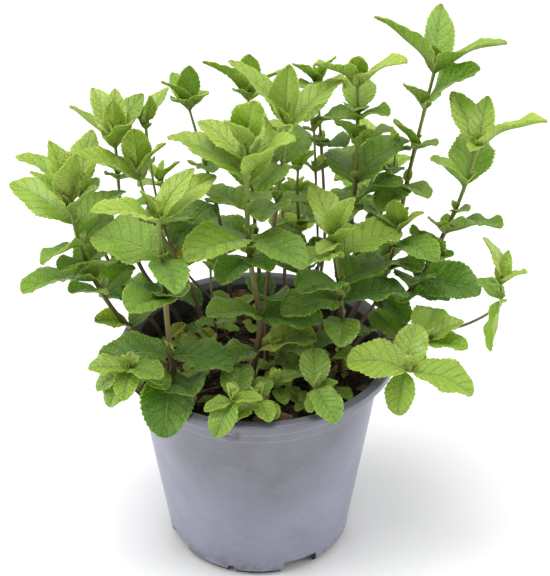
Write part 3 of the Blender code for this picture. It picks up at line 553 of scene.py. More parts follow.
# Each stem has half the diagonal of its section at the soil, the points that it passes through, in
# millimetres, and its pairs. A pair is its share of the way up, then for each of its leaves the heading in
# degrees, the length, the rise from root to tip and, where the blade is turned about its rib, that turn.
# Some pairs have lost a leaf.
STEMS = {
    "stem_left_tall": (1.6, ((-50, 6, 103), (-70, 2, 129), (-82, -10, 165), (-88, -22, 205)), (
        (0.23, (205, 22, 32), (40, 18, 25)),
        (0.48, (230, 26, 28), (60, 26, 10)),
        (0.58, (215, 42, 10, 20), (310, 30, 45)),
        (0.69, (240, 24, 18), (60, 32, -5)),
        (0.79, (235, 30, 8, 30), (65, 30, 5)),
        (0.90, (145, 42, 15, -20), (45, 34, 10)),
        (0.96, (175, 30, 50), (330, 26, 50)),
        (1.00, (130, 34, 65), (310, 34, 75)),
    )),
    "stem_left_rear": (1.2, ((-49, 20, 103), (-70, 20, 138), (-80, 14, 172), (-86, 12, 196)), (
        (0.21, (10, 24, 10), (190, 20, 15)),
        (0.59, (250, 24, -10), (80, 28, -15)),
        (0.91, (170, 40, 32), (70, 18, 10)),
        (1.00, (205, 26, 70), (80, 34, 32)),
    )),
    "stem_left_inner": (1.3, ((-40, 33, 103), (-59, 35, 135), (-67, 27, 172), (-68, 13, 222)), (
        (0.21, (0, 26, 5), (180, 24, 0)),
        (0.39, (245, 30, 10), (70, 28, -15)),
        (0.59, (255, 26, 25), (65, 26, -20)),
        (0.84, (240, 14, 35), (330, 14, 20)),
        (0.96, (140, 34, 24, 40), (300, 30, 50)),
        (1.00, (120, 30, 38), (60, 30, 35)),
        (1.00, (270, 24, 80), (90, 26, 50)),
    )),
    "stem_left_middle": (1.2, ((-27, 24, 103), (-38, 20, 145), (-50, 12, 176), (-57, 2, 209)), (
        (0.33, (250, 24, 5), (70, 26, 5)),
        (0.66, (230, 26, -10), (50, 30, -20)),
        (0.96, (155, 40, 15), (75, 24, -10, -50)),
        (1.00, (120, 34, 30), (350, 24, 60)),
        (1.00, (265, 32, 80), (90, 22, 45)),
    )),
    "stem_left_thin": (0.8, ((-18, 38, 103), (-40, 34, 140), (-50, 30, 180), (-54, 25, 225)), (
        (0.54, (130, 14, 20), (310, 14, 30)),
        (0.97, (130, 14, 55), (290, 10, 45)),
        (1.00, (110, 18, 80), (50, 22, 35)),
    )),
    "stem_front_left": (1.7, ((-39, -36, 103), (-42, -39, 133), (-44, -47, 186), (-45, -52, 215)), (
        (0.10, (275, 30, 0)),
        (0.24, (262, 36, -42)),
        (0.33, (185, 37, -5), (350, 32, -10, 10)),
        (0.54, (240, 34, 20), (295, 26, 35)),
        (0.71, (145, 42, 0, -25), (285, 30, 0)),
        (0.99, (210, 38, 25), (50, 42, 10)),
        (1.00, (35, 30, 45), (200, 20, 65)),
    )),
    "stem_small_inner": (0.7, ((-21, 14, 103), (-22, 8, 127), (-23, 1, 146), (-23, -5, 160)), (
        (0.22, (215, 12, 10), (325, 14, 20)),
        (1.00, (245, 12, 50), (325, 12, 40)),
    )),
    "stem_centre_back_left": (1.1, ((-14, 50, 103), (-20, 49, 160), (-29, 42, 206), (-33, 38, 226)), (
        (0.18, (260, 22, 5), (80, 26, 5)),
        (0.37, (228, 34, -10), (280, 20, 30)),
        (0.53, (110, 20, -25), (285, 20, 20)),
        (0.98, (245, 24, 45), (305, 24, 35)),
        (1.00, (225, 28, 65), (65, 18, 5)),
        (1.00, (280, 26, 80), (115, 24, 25)),
    )),
    "stem_centre_back": (1.2, ((2, 53, 103), (-1, 56, 145), (-4, 51, 205), (-4, 48, 226)), (
        (0.30, (190, 28, 0), (10, 28, 0)),
        (0.47, (280, 26, 5), (100, 30, 5)),
        (0.64, (150, 30, -15), (25, 28, -25)),
        (0.98, (240, 20, 40), (70, 20, 0)),
        (1.00, (205, 36, 54, 20), (325, 30, 45)),
        (1.00, (275, 28, 78), (90, 18, 50)),
    )),
    "stem_centre_front": (1.8, ((-4, -23, 103), (1, -25, 140), (-4, -27, 185), (-5, -32, 241)), (
        (0.20, (215, 22, 5), (345, 32, 0)),
        (0.37, (210, 32, 20), (355, 32, 0, 10)),
        (0.63, (240, 28, 0), (295, 24, 5)),
        (0.70, (225, 42, 8), (315, 38, 0)),
        (0.80, (135, 34, -4)),
        (0.88, (75, 38, 35)),
        (0.91, (143, 48, 8), (320, 42, 45)),
        (0.96, (135, 34, 16), (60, 24, 50)),
        (1.00, (240, 30, 50), (285, 36, 65)),
    )),
    "stem_centre_right": (1.4, ((4, -12, 103), (5, -11, 160), (11, -9, 212), (14, -8, 240)), (
        (0.25, (110, 20, 10), (290, 24, 30)),
        (0.38, (120, 28, -5), (300, 28, 40)),
        (0.57, (255, 30, 5), (50, 30, -25)),
        (0.74, (235, 28, 15), (65, 28, 5)),
        (0.98, (250, 22, 30), (35, 38, 25)),
        (1.00, (150, 42, 40, 20), (290, 34, 85)),
    )),
    "stem_dark_centre": (1.2, ((22, 38, 103), (23, 42, 128), (20, 30, 179), (20, 22, 200)), (
        (0.33, (135, 26, 5), (315, 26, 40)),
        (0.52, (230, 26, 30), (300, 26, 40)),
        (0.74, (180, 15, 0, 50), (0, 12, 0, 50)),
        (1.00, (245, 20, 30), (295, 24, 50)),
    )),
    "stem_centre_far": (1.0, ((30, 44, 103), (35, 56, 143), (31, 54, 218), (30, 52, 231)), (
        (0.41, (200, 24, 5), (20, 26, 5)),
        (0.55, (230, 26, 35), (300, 26, 25)),
        (0.80, (255, 28, -8)),
        (0.95, (245, 24, 25), (310, 24, 30)),
        (1.00, (225, 26, 45), (315, 24, 50)),
    )),
    "stem_right_back": (1.4, ((42, 32, 103), (47, 33, 159), (49, 27, 205), (48, 20, 247)), (
        (0.26, (200, 28, 0), (20, 30, 0)),
        (0.44, (255, 22, 5), (330, 34, 35)),
        (0.53, (125, 42, 20), (30, 36, 5)),
        (0.71, (230, 28, 50), (315, 28, 45)),
        (0.84, (130, 36, -10), (305, 28, 35)),
        (0.87, (260, 24, 30), (85, 32, 15)),
        (0.99, (220, 36, 37, 8), (315, 40, 38, 3)),
        (1.00, (265, 22, 65), (85, 20, 20)),
    )),
    "stem_right_back_thin": (0.7, ((31, 27, 103), (31, 39, 142), (29, 37, 195), (28, 35, 215)), (
        (0.46, (190, 18, 5), (10, 20, 5)),
        (0.63, (225, 12, 45), (65, 14, 0)),
        (1.00, (225, 10, 30), (310, 12, 50)),
    )),
    "stem_right_front": (1.4, ((41, -14, 103), (41, -18, 145), (37, -23, 176), (37, -25, 188)), (
        (0.18, (225, 20, 10), (45, 24, -15)),
        (0.28, (265, 26, 0)),
        (0.38, (200, 34, -5), (20, 36, -5)),
        (0.47, (230, 34, 20), (45, 40, -5)),
        (0.69, (235, 34, 25), (35, 40, 0)),
        (0.94, (245, 22, 15), (300, 24, 45)),
        (1.00, (110, 36, 15), (300, 34, 65)),
    )),
    "stem_right_star_high": (0.9, ((38, 37, 103), (57, 44, 141), (68, 45, 184), (69, 45, 200)), (
        (0.48, (180, 24, 5), (290, 22, 5)),
        (0.67, (240, 26, 20), (315, 24, 0)),
        (0.96, (230, 16, 40), (305, 14, 25)),
        (1.00, (210, 16, 70), (310, 14, 60)),
    )),
    "stem_right_star": (1.1, ((46, 14, 103), (60, 17, 127), (67, 10, 160), (68, 5, 175)), (
        (0.36, (240, 28, 25), (310, 26, -5)),
        (0.56, (225, 30, 20), (310, 26, 20)),
        (0.77, (230, 34, 30), (305, 34, 10)),
        (0.96, (205, 18, 50), (305, 22, 40)),
        (1.00, (255, 24, 70), (265, 14, 15)),
    )),
    "stem_right_tallest": (1.5, ((45, 25, 103), (67, 34, 145), (77, 38, 196), (86, 40, 243)), (
        (0.29, (110, 26, 0), (250, 22, 5)),
        (0.44, (190, 24, 0)),
        (0.58, (235, 26, 0), (300, 20, 5)),
        (0.71, (195, 24, 28), (305, 20, 30)),
        (0.86, (225, 26, 50), (330, 42, 46, 15)),
        (1.00, (190, 46, 47, 15), (330, 46, 34, -15)),
        (1.00, (260, 20, 70), (80, 38, 42, 30)),
    )),
    "stem_right_tall": (1.5, ((49, 8, 103), (78, 15, 136), (96, 12, 180), (106, 8, 220)), (
        (0.31, (250, 20, 15), (350, 22, -5)),
        (0.36, (240, 30, 55), (350, 34, -5, 30)),
        (0.44, (250, 30, 65), (330, 18, 35)),
        (0.58, (240, 20, 45), (325, 36, 24, -20)),
        (0.68, (295, 16, 30)),
        (0.80, (200, 28, 45), (75, 40, 12)),
        (0.99, (110, 36, 35), (322, 46, 36, -6)),
        (1.00, (250, 18, 20), (75, 28, 38)),
    )),
    "stem_right_hanging": (1.2, (
        (48, -2, 103), (70, -1, 121), (98, -8, 127), (116, -24, 150), (116, -30, 167),
    ), (
        (0.82, (255, 32, -20, 66), (120, 20, 5)),
        (0.97, (225, 14, 30), (65, 18, 60)),
        (1.00, (155, 26, 65), (315, 20, 40)),
    )),
    "stem_right_low": (1.2, ((46, -16, 103), (54, -28, 116), (65, -44, 127), (72, -60, 137)), (
        (0.50, (160, 24, 5), (350, 20, 10)),
        (0.90, (250, 22, -58), (70, 24, 40)),
        (1.00, (165, 32, 0, -20), (345, 32, -15, 10)),
    )),
    "stem_right_rim": (1.0, ((52, -6, 103), (65, -7, 119), (76, -14, 121), (82, -25, 130)), (
        (0.50, (120, 26, 35), (300, 22, 5)),
        (0.90, (340, 24, 5)),
        (1.00, (20, 22, 20), (78, 28, 5)),
    )),
    "stem_front_small_left": (0.8, ((-11, -46, 103), (-11, -50, 112), (-12, -58, 120), (-12, -66, 125)), (
        (0.60, (230, 16, -15), (80, 24, 20)),
        (1.00, (200, 15, -10), (350, 15, 10)),
        (1.00, (240, 20, -35)),
    )),
    "stem_front_small_centre": (0.8, ((1, -46, 103), (1, -50, 111), (0, -57, 119)), (
        (0.60, (150, 12, 10), (300, 16, -15)),
        (1.00, (240, 20, -25), (60, 13, 20)),
        (1.00, (290, 16, -10)),
    )),
    "stem_front_dark": (0.7, ((9, -34, 103), (9, -38, 112), (8, -44, 120)), (
        (0.50, (110, 12, 15), (290, 12, -10)),
        (1.00, (200, 14, 10), (20, 14, 5)),
    )),
    "stem_front_right_small": (0.8, ((28, -42, 103), (28, -46, 112), (27, -54, 124)), (
        (0.90, (260, 14, -20, 50), (15, 12, 10)),
        (1.00, (90, 22, 25), (300, 22, -25)),
    )),
    "stem_front_centre_small": (0.9, ((12, -6, 103), (11, -14, 115), (9, -27, 128)), (
        (0.50, (120, 16, 5), (300, 22, 0)),
        (1.00, (200, 20, 25), (20, 26, 5)),
    )),
    "stem_left_low": (1.1, ((-46, -16, 103), (-53, -30, 116), (-58, -43, 127), (-61, -55, 136)), (
        (0.35, (215, 26, -12), (110, 20, 40)),
        (0.60, (150, 24, 0), (310, 22, 0)),
        (0.85, (230, 22, -20), (330, 18, -10)),
        (0.95, (190, 20, -5), (260, 18, -25)),
        (1.00, (160, 20, 5), (320, 22, 10)),
    )),
    "stem_rear_left": (1.1, ((-32, 42, 103), (-44, 57, 135), (-48, 63, 155), (-50, 65, 170)), (
        (0.25, (160, 28, 5)),
        (0.50, (70, 28, 0), (250, 26, 5)),
        (0.75, (200, 18, 0), (290, 22, 0)),
        (0.95, (240, 24, 25)),
        (1.00, (150, 14, 45), (330, 20, 50)),
    )),
    "stem_rear_centre": (1.0, ((14, 51, 103), (14, 64, 140), (10, 72, 175), (8, 74, 190)), (
        (0.30, (60, 30, 0)),
        (0.55, (150, 30, 5), (310, 26, 0)),
        (0.80, (80, 30, 5), (260, 24, 10)),
        (1.00, (170, 26, 45), (350, 26, 40)),
    )),
    "stem_rear_right": (1.1, ((20, 49, 103), (42, 65, 135), (58, 74, 160), (63, 76, 175)), (
        (0.30, (20, 28, 0)),
        (0.60, (100, 30, 0), (280, 26, 5)),
        (0.85, (30, 24, 5), (210, 26, 5)),
        (1.00, (120, 26, 45), (300, 22, 45)),
    )),
}

SOIL_LEVEL = POT_HEIGHT - 9 * MM
STEM_DEPTH = 16 * MM
STEM_TAPER = 0.5
THINNEST_STEM = 0.6 * MM
PETIOLE_HALF_WIDTH = 1.0 * MM
ROOT_SINK = 0.4
ROLL_START = 0.3
FOLD = math.radians(16)
SOLID_SIDES = 36
SHORT_SHOOT = 45 * MM
STEM_STEP = 24 * MM
STEM_TIP = 3 * MM
TEST_THICKNESS = 2.0 * MM
TEST_SCALE = 1.05
TEST_EDGE = ((0.26, 0.72), (0.50, 1.0), (0.54, 0.89), (0.80, 0.60))
TEST_RIB = 0.50
ROOT_SHARE = 0.35
GAP = 0.3 * MM


class Stem:
    """A square stem on a smooth line through its points, rising straight out of the soil."""

    def __init__(self, name, radius, points):
        self.name = name
        self.radius = radius * MM
        self.points = [Vector(p) * MM for p in points]
        self.foot = self.points[0]

    def at(self, share):
        """Place and direction this share of the way up, on a Catmull-Rom curve."""
        points = self.points
        spans = len(points) - 1
        place = min(max(share, 0), 0.9999) * spans
        k = int(place)
        t = place - k
        b, c = points[k], points[k + 1]
        a = points[k - 1] if k else b - Vector((0, 0, (c - b).length))
        d = points[k + 2] if k + 2 <= spans else c + (c - b)
        point = 0.5 * (2 * b + (c - a) * t + (2 * a - 5 * b + 4 * c - d) * t**2
                       + (3 * b - a - 3 * c + d) * t**3)
        slope = 0.5 * ((c - a) + 2 * (2 * a - 5 * b + 4 * c - d) * t + 3 * (3 * b - a - 3 * c + d) * t**2)
        return point, slope.normalized()

    def radius_at(self, share):
        return max(self.radius * (1 - STEM_TAPER * share), THINNEST_STEM)

    def rings(self, spacing):
        """(share, middle, direction, reach) of each section from the sunk end to the tip."""
        up = Vector((0, 0, 1))
        sunk = Vector((self.foot.x, self.foot.y, SOIL_LEVEL - STEM_DEPTH))
        found = [(0, sunk, up, self.radius), (0, self.foot.copy(), up, self.radius)]
        steps = max(3, round((self.points[-1] - self.foot).length / spacing))
        for k in range(1, steps + 1):
            found.append((k / steps, *self.at(k / steps), self.radius_at(k / steps)))
        tip, direction = self.at(1)
        return found + [(1, tip + direction * STEM_TIP, direction, 0.6 * self.radius_at(1))]

    def test_solid(self):
        points = []
        for _, centre, direction, reach in self.rings(STEM_STEP):
            side = Vector((0, 1, 0)).cross(direction).normalized()
            front = direction.cross(side)
            points += [centre + turn * reach for turn in (side, front, -side, -front)]
        faces = [(3, 2, 1, 0), tuple(range(len(points) - 4, len(points)))]
        faces += [quad(low, k, 4) for low in range(0, len(points) - 4, 4) for k in range(4)]
        return points, faces


class Leaf:
    """A toothed blade, folded up along its rib and arched over its length."""

    def __init__(self, stem, share, heading, length, rise, roll=0):
        self.heading = math.radians(heading)
        self.roll = math.radians(roll)
        out = Vector((math.cos(self.heading), math.sin(self.heading), 0))
        self.root = stem.at(share)[0] - out * ROOT_SINK * stem.radius_at(share)
        self.petiole = min(PETIOLE_HALF_WIDTH, stem.radius_at(share))
        self.length = length * MM
        self.rise = math.radians(rise)
        self.share = share
        tall = stem.points[-1].z - SOIL_LEVEL > SHORT_SHOOT
        self.young = min(1, max(0, (share - 0.6) / 0.4)) if tall else 0
        low = max(0, 1 - share / 0.3)
        self.half_width = self.length * (0.37 - 0.09 * self.young + 0.10 * low)
        self.arch = math.radians(40 - 6 * self.young) * min(1, length / 30)

    def varied(self, turn, lift, scale):
        """The same leaf turned, lifted and shortened."""
        other = Leaf.__new__(Leaf)
        other.__dict__.update(self.__dict__)
        other.heading += math.radians(turn)
        other.rise += math.radians(lift)
        other.length *= scale
        other.half_width *= scale
        return other

    def rib(self, share):
        """Place, side and face direction on the rib, this share of the way to the tip."""
        out = Vector((math.cos(self.heading), math.sin(self.heading), 0))
        side = Vector((-out.y, out.x, 0))
        start = self.rise + self.arch / 2
        slope = start - self.arch * share
        run = (math.sin(start) - math.sin(slope)) / self.arch
        climb = (math.cos(slope) - math.cos(start)) / self.arch
        place = self.root + (out * run + Vector((0, 0, climb))) * self.length
        face = Vector((0, 0, 1)) * math.cos(slope) - out * math.sin(slope)
        roll = self.roll * min(1, share / ROLL_START)
        cos, sin = math.cos(roll), math.sin(roll)
        return place, side * cos + face * sin, face * cos - side * sin

    def test_solid(self, scale=1.0, start=0.0):
        """A coarse solid of the leaf, which the search for a clear place uses."""
        edge, ribs = TEST_EDGE, (start, TEST_RIB)
        points, upper, lower, left, right = [], [], [], [], []
        grown = self.varied(0, 0, scale)
        for share in ribs:
            place, _, face = grown.rib(share)
            for side, rail in ((0.5, upper), (-0.5, lower)):
                rail.append(len(points))
                points.append(place + face * TEST_THICKNESS * side)
        if start > edge[0][0]:
            edge = ((start, 0.6),) + tuple(point for point in edge if point[0] > start)
        for share, width in edge:
            place, side, face = grown.rib(share)
            reach = max(width * grown.half_width, grown.petiole)
            for sign, rail in ((1, left), (-1, right)):
                rail.append(len(points))
                points.append(place + (side * sign * math.cos(FOLD) + face * math.sin(FOLD)) * reach)
        tip = len(points)
        points.append(grown.rib(1)[0])
        edge_shares = [share for share, _ in edge] + [1.0]
        rib_shares = list(ribs) + [1.0]
        faces = [(upper[0], left[0], lower[0]), (upper[0], lower[0], right[0])]
        for rib_rail, edge_rail in ((upper, left), (upper, right), (lower, left), (lower, right)):
            faces += zipped(rib_rail + [tip], rib_shares, edge_rail + [tip], edge_shares)
        return points, faces


def zipped(rib, rib_shares, edge, edge_shares):
    """Triangles between a rib and an edge that meet at the tip."""
    faces = []
    i = j = 0
    while i < len(rib) - 1 or j < len(edge) - 1:
        if j == len(edge) - 1 or (i < len(rib) - 1 and rib_shares[i + 1] <= edge_shares[j + 1]):
            if rib[i + 1] != edge[j]:
                faces.append((rib[i], rib[i + 1], edge[j]))
            i += 1
        else:
            if rib[i] != edge[j + 1]:
                faces.append((rib[i], edge[j + 1], edge[j]))
            j += 1
    return faces


class Shape:
    """A closed shape to keep clear of, with a ball round it for a quick first test."""

    def __init__(self, owner, solid):
        points = solid[0]
        self.owner = owner
        self.tree = BVHTree.FromPolygons(*solid)
        self.middle = sum(points, Vector()) / len(points)
        self.reach = max((point - self.middle).length for point in points)

    def meets(self, other):
        if (self.middle - other.middle).length > self.reach + other.reach:
            return False
        return bool(self.tree.overlap(other.tree))


def place_leaves(stems, pot_space):
    """The leaves of each stem, each moved as little as keeps it clear of all that stands before it."""
    others = [Shape(None, pot_space)] + [Shape(stem, stem.test_solid()) for stem in stems]
    steps = [(turn, lift) for turn in (0, 8, -8, 16, -16, 26, -26) for lift in (0, 8, -8, 16, -16, 26, -26)]
    steps.sort(key=lambda step: abs(step[0]) + abs(step[1]))
    tries = [(turn, lift, scale) for scale in (1.0, 0.85, 0.7) for turn, lift in steps]
    leaves = {stem: [] for stem in stems}
    for stem in stems:
        own = [Shape(stem, stem.test_solid())]
        for share, *pair in reversed(STEMS[stem.name][2]):
            for heading, length, rise, *roll in pair:
                leaf = Leaf(stem, share, heading, length, rise, *roll)
                for change in tries:
                    test = leaf.varied(*change)
                    whole = Shape(stem, test.test_solid(TEST_SCALE))
                    beyond_root = Shape(stem, test.test_solid(1, ROOT_SHARE))
                    if any(beyond_root.meets(shape) for shape in own):
                        continue
                    if any(shape.owner is not stem and whole.meets(shape) for shape in others):
                        continue
                    others.append(whole)
                    own.append(beyond_root)
                    leaves[stem].append(test)
                    break
    return leaves


pot_space = turned((
    (0, SOIL_LEVEL - 3 * MM),
    (COLLAR_RADIUS, SOIL_LEVEL - 3 * MM),
    (RIM_RADIUS + GAP, POT_HEIGHT - RIM_DEPTH - GAP),
    (RIM_RADIUS + GAP, POT_HEIGHT + GAP),
    (RIM_INNER_RADIUS - GAP, POT_HEIGHT + GAP),
    (COLLAR_RADIUS - WALL - GAP, SOIL_LEVEL + GAP),
    (0, SOIL_LEVEL + 1 * MM),
), SOLID_SIDES)

TOOTH_SPACING = 2.5 * MM
TOOTH_DEPTH = 0.07
TOOTH_PEAK = 0.70
TOOTH_START = 0.09
BLADE_START = 0.06
ACROSS = (0.0, 0.10, 0.30, 0.52, 0.75, 0.90, 1.0)
VEINS = 7
VEIN_SLANT = 0.24
PUCKER = 0.042
SHARP_EDGE = 75
SMALL_LEAF = 14 * MM
SHEET = 0.45 * MM
RIB_DEPTH = 0.55 * MM
STEM_SIDES = 16
NODE_SWELL = 0.22
UPPER, UNDER, STEM = range(3)


def outline_width(share, young):
    """The blade's half-width as a share of its widest: blunt when old, slimmer at its ends when young."""
    return np.sin(np.pi * np.clip(share, 0, 1) ** (0.90 - 0.14 * young)) ** (0.52 + 0.22 * young)


class Foliage:
    """A mesh in the making: points, faces with their material, and each point's UV and tint."""

    def __init__(self):
        self.points, self.faces, self.kinds, self.uvs, self.tints = [], [], [], [], []
        self.count = 0

    def add(self, points, faces_of_kinds, uv, tint):
        for kind, faces in faces_of_kinds.items():
            self.faces += [tuple(index + self.count for index in face) for face in faces]
            self.kinds += [kind] * len(faces)
        self.points.append(points)
        self.uvs.append(uv)
        self.tints.append(np.broadcast_to(tint, (len(points), 4)))
        self.count += len(points)

    def mesh_object(self, name, materials):
        points = np.concatenate(self.points)
        mesh = bpy.data.meshes.new(name)
        mesh.from_pydata(points.tolist(), [], self.faces)
        mesh.polygons.foreach_set("material_index", self.kinds)
        corners = np.empty(len(mesh.loops), np.int32)
        mesh.loops.foreach_get("vertex_index", corners)
        layer = mesh.uv_layers.new(name="along")
        layer.uv.foreach_set("vector", np.concatenate(self.uvs)[corners].astype(np.float32).ravel())
        tint = mesh.attributes.new("tint", "FLOAT_COLOR", "POINT")
        tint.data.foreach_set("color", np.concatenate(self.tints).astype(np.float32).ravel())
        for made in materials:
            mesh.materials.append(made)
        mesh.update()
        mesh.shade_smooth()
        mesh.set_sharp_from_angle(angle=math.radians(SHARP_EDGE))
        obj = bpy.data.objects.new(name, mesh)
        bpy.context.scene.collection.objects.link(obj)
        return obj


def edge_teeth(length):
    """Shares of the way along a blade, and how deep its edge is cut at each, as a share of the width."""
    teeth = max(4, round(length / TOOTH_SPACING))
    shares, depths = [0.0, 0.035, 0.075], [0.0, 0.0, 0.0]
    for k in range(teeth):
        start = TOOTH_START + (1 - TOOTH_START) * k / teeth
        shares += [start, start + TOOTH_PEAK * (1 - TOOTH_START) / teeth]
        depths += [TOOTH_DEPTH, 0.0]
    return np.array(shares), np.array(depths)


def grow_blade(foliage, leaf, tint, draw):
    """A closed blade: its upper and under faces meet at the toothed edge, and a rib runs under it."""
    shares, depths = edge_teeth(leaf.length)
    stations = ACROSS if leaf.length > SMALL_LEAF else ACROSS[::2]
    across = np.array([-t for t in stations[:0:-1]] + list(stations))
    width = outline_width(np.maximum(shares - BLADE_START, 0) / (1 - BLADE_START), leaf.young)
    width = np.maximum(width * leaf.half_width * (1 - 0.12 * leaf.young), 0.55 * leaf.petiole)
    twist = draw.uniform(-0.24, 0.24)
    wave_phase = draw.uniform(0, math.tau)
    wave = draw.uniform(0.05, 0.15)
    place, side, face = (np.array(rail) for rail in zip(*(leaf.rib(share) for share in shares)))
    turn = (twist * shares)[:, None]
    side, face = side * np.cos(turn) + face * np.sin(turn), face * np.cos(turn) - side * np.sin(turn)
    s, t = shares[:, None], across[None, :]
    near = np.abs(t)
    reach = width[:, None] * (1 - depths[:, None] * near**4)
    out = reach * t * math.cos(FOLD)
    swell = np.abs(np.sin(np.pi * VEINS * (s - VEIN_SLANT * near))) - 0.55
    rise = width[:, None] * (0.46 * near - 0.18 * near**2)
    rise += leaf.length * PUCKER * swell * near**0.5 * (1 - 0.6 * near**3) * (s > 0.08)
    rise += width[:, None] * wave * np.sin(14 * s + wave_phase + 1.5 * np.sign(t)) * near**2
    rise += width[:, None] * 0.05 * np.sin(9 * s + 4 * t + 2 * wave_phase)
    top = place[:, None, :] + side[:, None, :] * out[:, :, None] + face[:, None, :] * rise[:, :, None]
    thick = np.minimum(SHEET, 0.5 * width)[:, None] + RIB_DEPTH * np.exp(-(near / 0.09) ** 2) * (1 - 0.7 * s)
    under = top[:, 1:-1] - face[:, None, :] * thick[:, 1:-1, None]
    rows, columns = len(shares), len(across)
    upper = np.arange(rows * columns).reshape(rows, columns)
    inner = rows * columns + np.arange(rows * (columns - 2)).reshape(rows, columns - 2)
    lower = np.concatenate([upper[:, :1], inner, upper[:, -1:]], axis=1)
    tip = rows * columns + rows * (columns - 2)
    a, b, c, d = upper[:-1, :-1], upper[:-1, 1:], upper[1:, 1:], upper[1:, :-1]
    top_faces = np.stack([a, d, c, b], -1).reshape(-1, 4).tolist()
    top_faces += [(upper[-1, j], tip, upper[-1, j + 1]) for j in range(columns - 1)]
    a, b, c, d = lower[:-1, :-1], lower[:-1, 1:], lower[1:, 1:], lower[1:, :-1]
    under_faces = np.stack([a, b, c, d], -1).reshape(-1, 4).tolist()
    under_faces += [(lower[-1, j], lower[-1, j + 1], tip) for j in range(columns - 1)]
    under_faces.append(tuple(int(i) for i in (*upper[0], *lower[0, -2:0:-1])))
    uv_top = np.stack(np.broadcast_arrays(0.5 + 0.5 * t, s), -1)
    uv = np.concatenate([uv_top.reshape(-1, 2), uv_top[:, 1:-1].reshape(-1, 2), [[0.5, 1.0]]])
    points = np.concatenate([top.reshape(-1, 3), under.reshape(-1, 3), np.array(leaf.rib(1.0)[0])[None]])
    foliage.add(points, {UPPER: top_faces, UNDER: under_faces}, uv, tint)


def grow_stem(foliage, stem, nodes):
    """The square stem, with rounded corners, grooved sides and a slight swelling where each pair grows."""
    rings = stem.rings(3.5 * MM)
    points, uv, tints = [], [], []
    for share, centre, direction, reach in rings:
        side = Vector((0, 1, 0)).cross(direction).normalized()
        front = direction.cross(side)
        swell = 1 + NODE_SWELL * max([math.exp(-((share - node) * 45) ** 2) for node in nodes] + [0])
        for k in range(STEM_SIDES):
            turn = math.tau * k / STEM_SIDES
            out = reach * swell * (0.86 + 0.14 * math.cos(4 * turn))
            points.append(centre + (side * math.cos(turn) + front * math.sin(turn)) * out)
            uv.append((k / STEM_SIDES, share))
            tints.append((share, 0, 0, 1))
    points.append(centre + direction * 1.5 * MM)
    uv.append((0.5, 1))
    tints.append((1, 0, 0, 1))
    last = len(points) - 1 - STEM_SIDES
    faces = [tuple(reversed(range(STEM_SIDES)))]
    faces += [quad(low, k, STEM_SIDES) for low in range(0, last, STEM_SIDES) for k in range(STEM_SIDES)]
    faces += [(last + k, last + (k + 1) % STEM_SIDES, len(points) - 1) for k in range(STEM_SIDES)]
    foliage.add(np.array(points), {STEM: faces}, np.array(uv), np.array(tints))


YOUNG_GREEN = (0.335, 0.435, 0.065)
FULL_GREEN = (0.185, 0.290, 0.022)
OLD_GREEN = (0.097, 0.190, 0.019)
VEIN_GREEN = (0.30, 0.42, 0.12)
# The whitish green of the painted glints.
GLINT_GREEN = (0.42, 0.54, 0.29)
# Painted light and shade: a random share of leaves is painted as if sunlit, another as if in shade.
SUNLIT_GREEN = (0.240, 0.360, 0.010)
SHADED_GREEN = (0.075, 0.180, 0.036)
CLOUD_GREEN = (0.30, 0.41, 0.045)
NET_GREEN = (0.036, 0.095, 0.006)
VEIN_GROOVE_SHADE = (0.055, 0.130, 0.010)
UNDER_PALE_AND_GLOW = (0.33, 0.46, 0.09)
FADED_YELLOW = (0.46, 0.42, 0.05)
DEAD_BROWN = (0.15, 0.065, 0.020)
STEM_STRAW = (0.25, 0.21, 0.10)
STEM_COLOURS = ((0.0, (0.075, 0.040, 0.030)), (0.25, (0.115, 0.072, 0.035)),
                (0.55, (0.155, 0.140, 0.040)), (0.90, (0.19, 0.26, 0.045)))


def blade_veins(wire):
    """(side veins, midrib, distance from the midrib) over a blade, from the UV that runs along it."""
    across, along = wire.parts("SeparateXYZ", wire.node("UVMap", {"uv_map": "along"}), "XY")
    near = wire.maths("ABSOLUTE", across * 2 - 1)
    phase = wire.maths("FRACT", (along - near * VEIN_SLANT) * VEINS + 0.5)
    off_vein = wire.maths("ABSOLUTE", phase - 0.5)
    side_veins = (1 - off_vein.between(0.015, 0.085)) * (1 - near.between(0.75, 1.0) * 0.7)
    midrib = 1 - near.between(0.018, 0.060)
    return side_veins, midrib, near


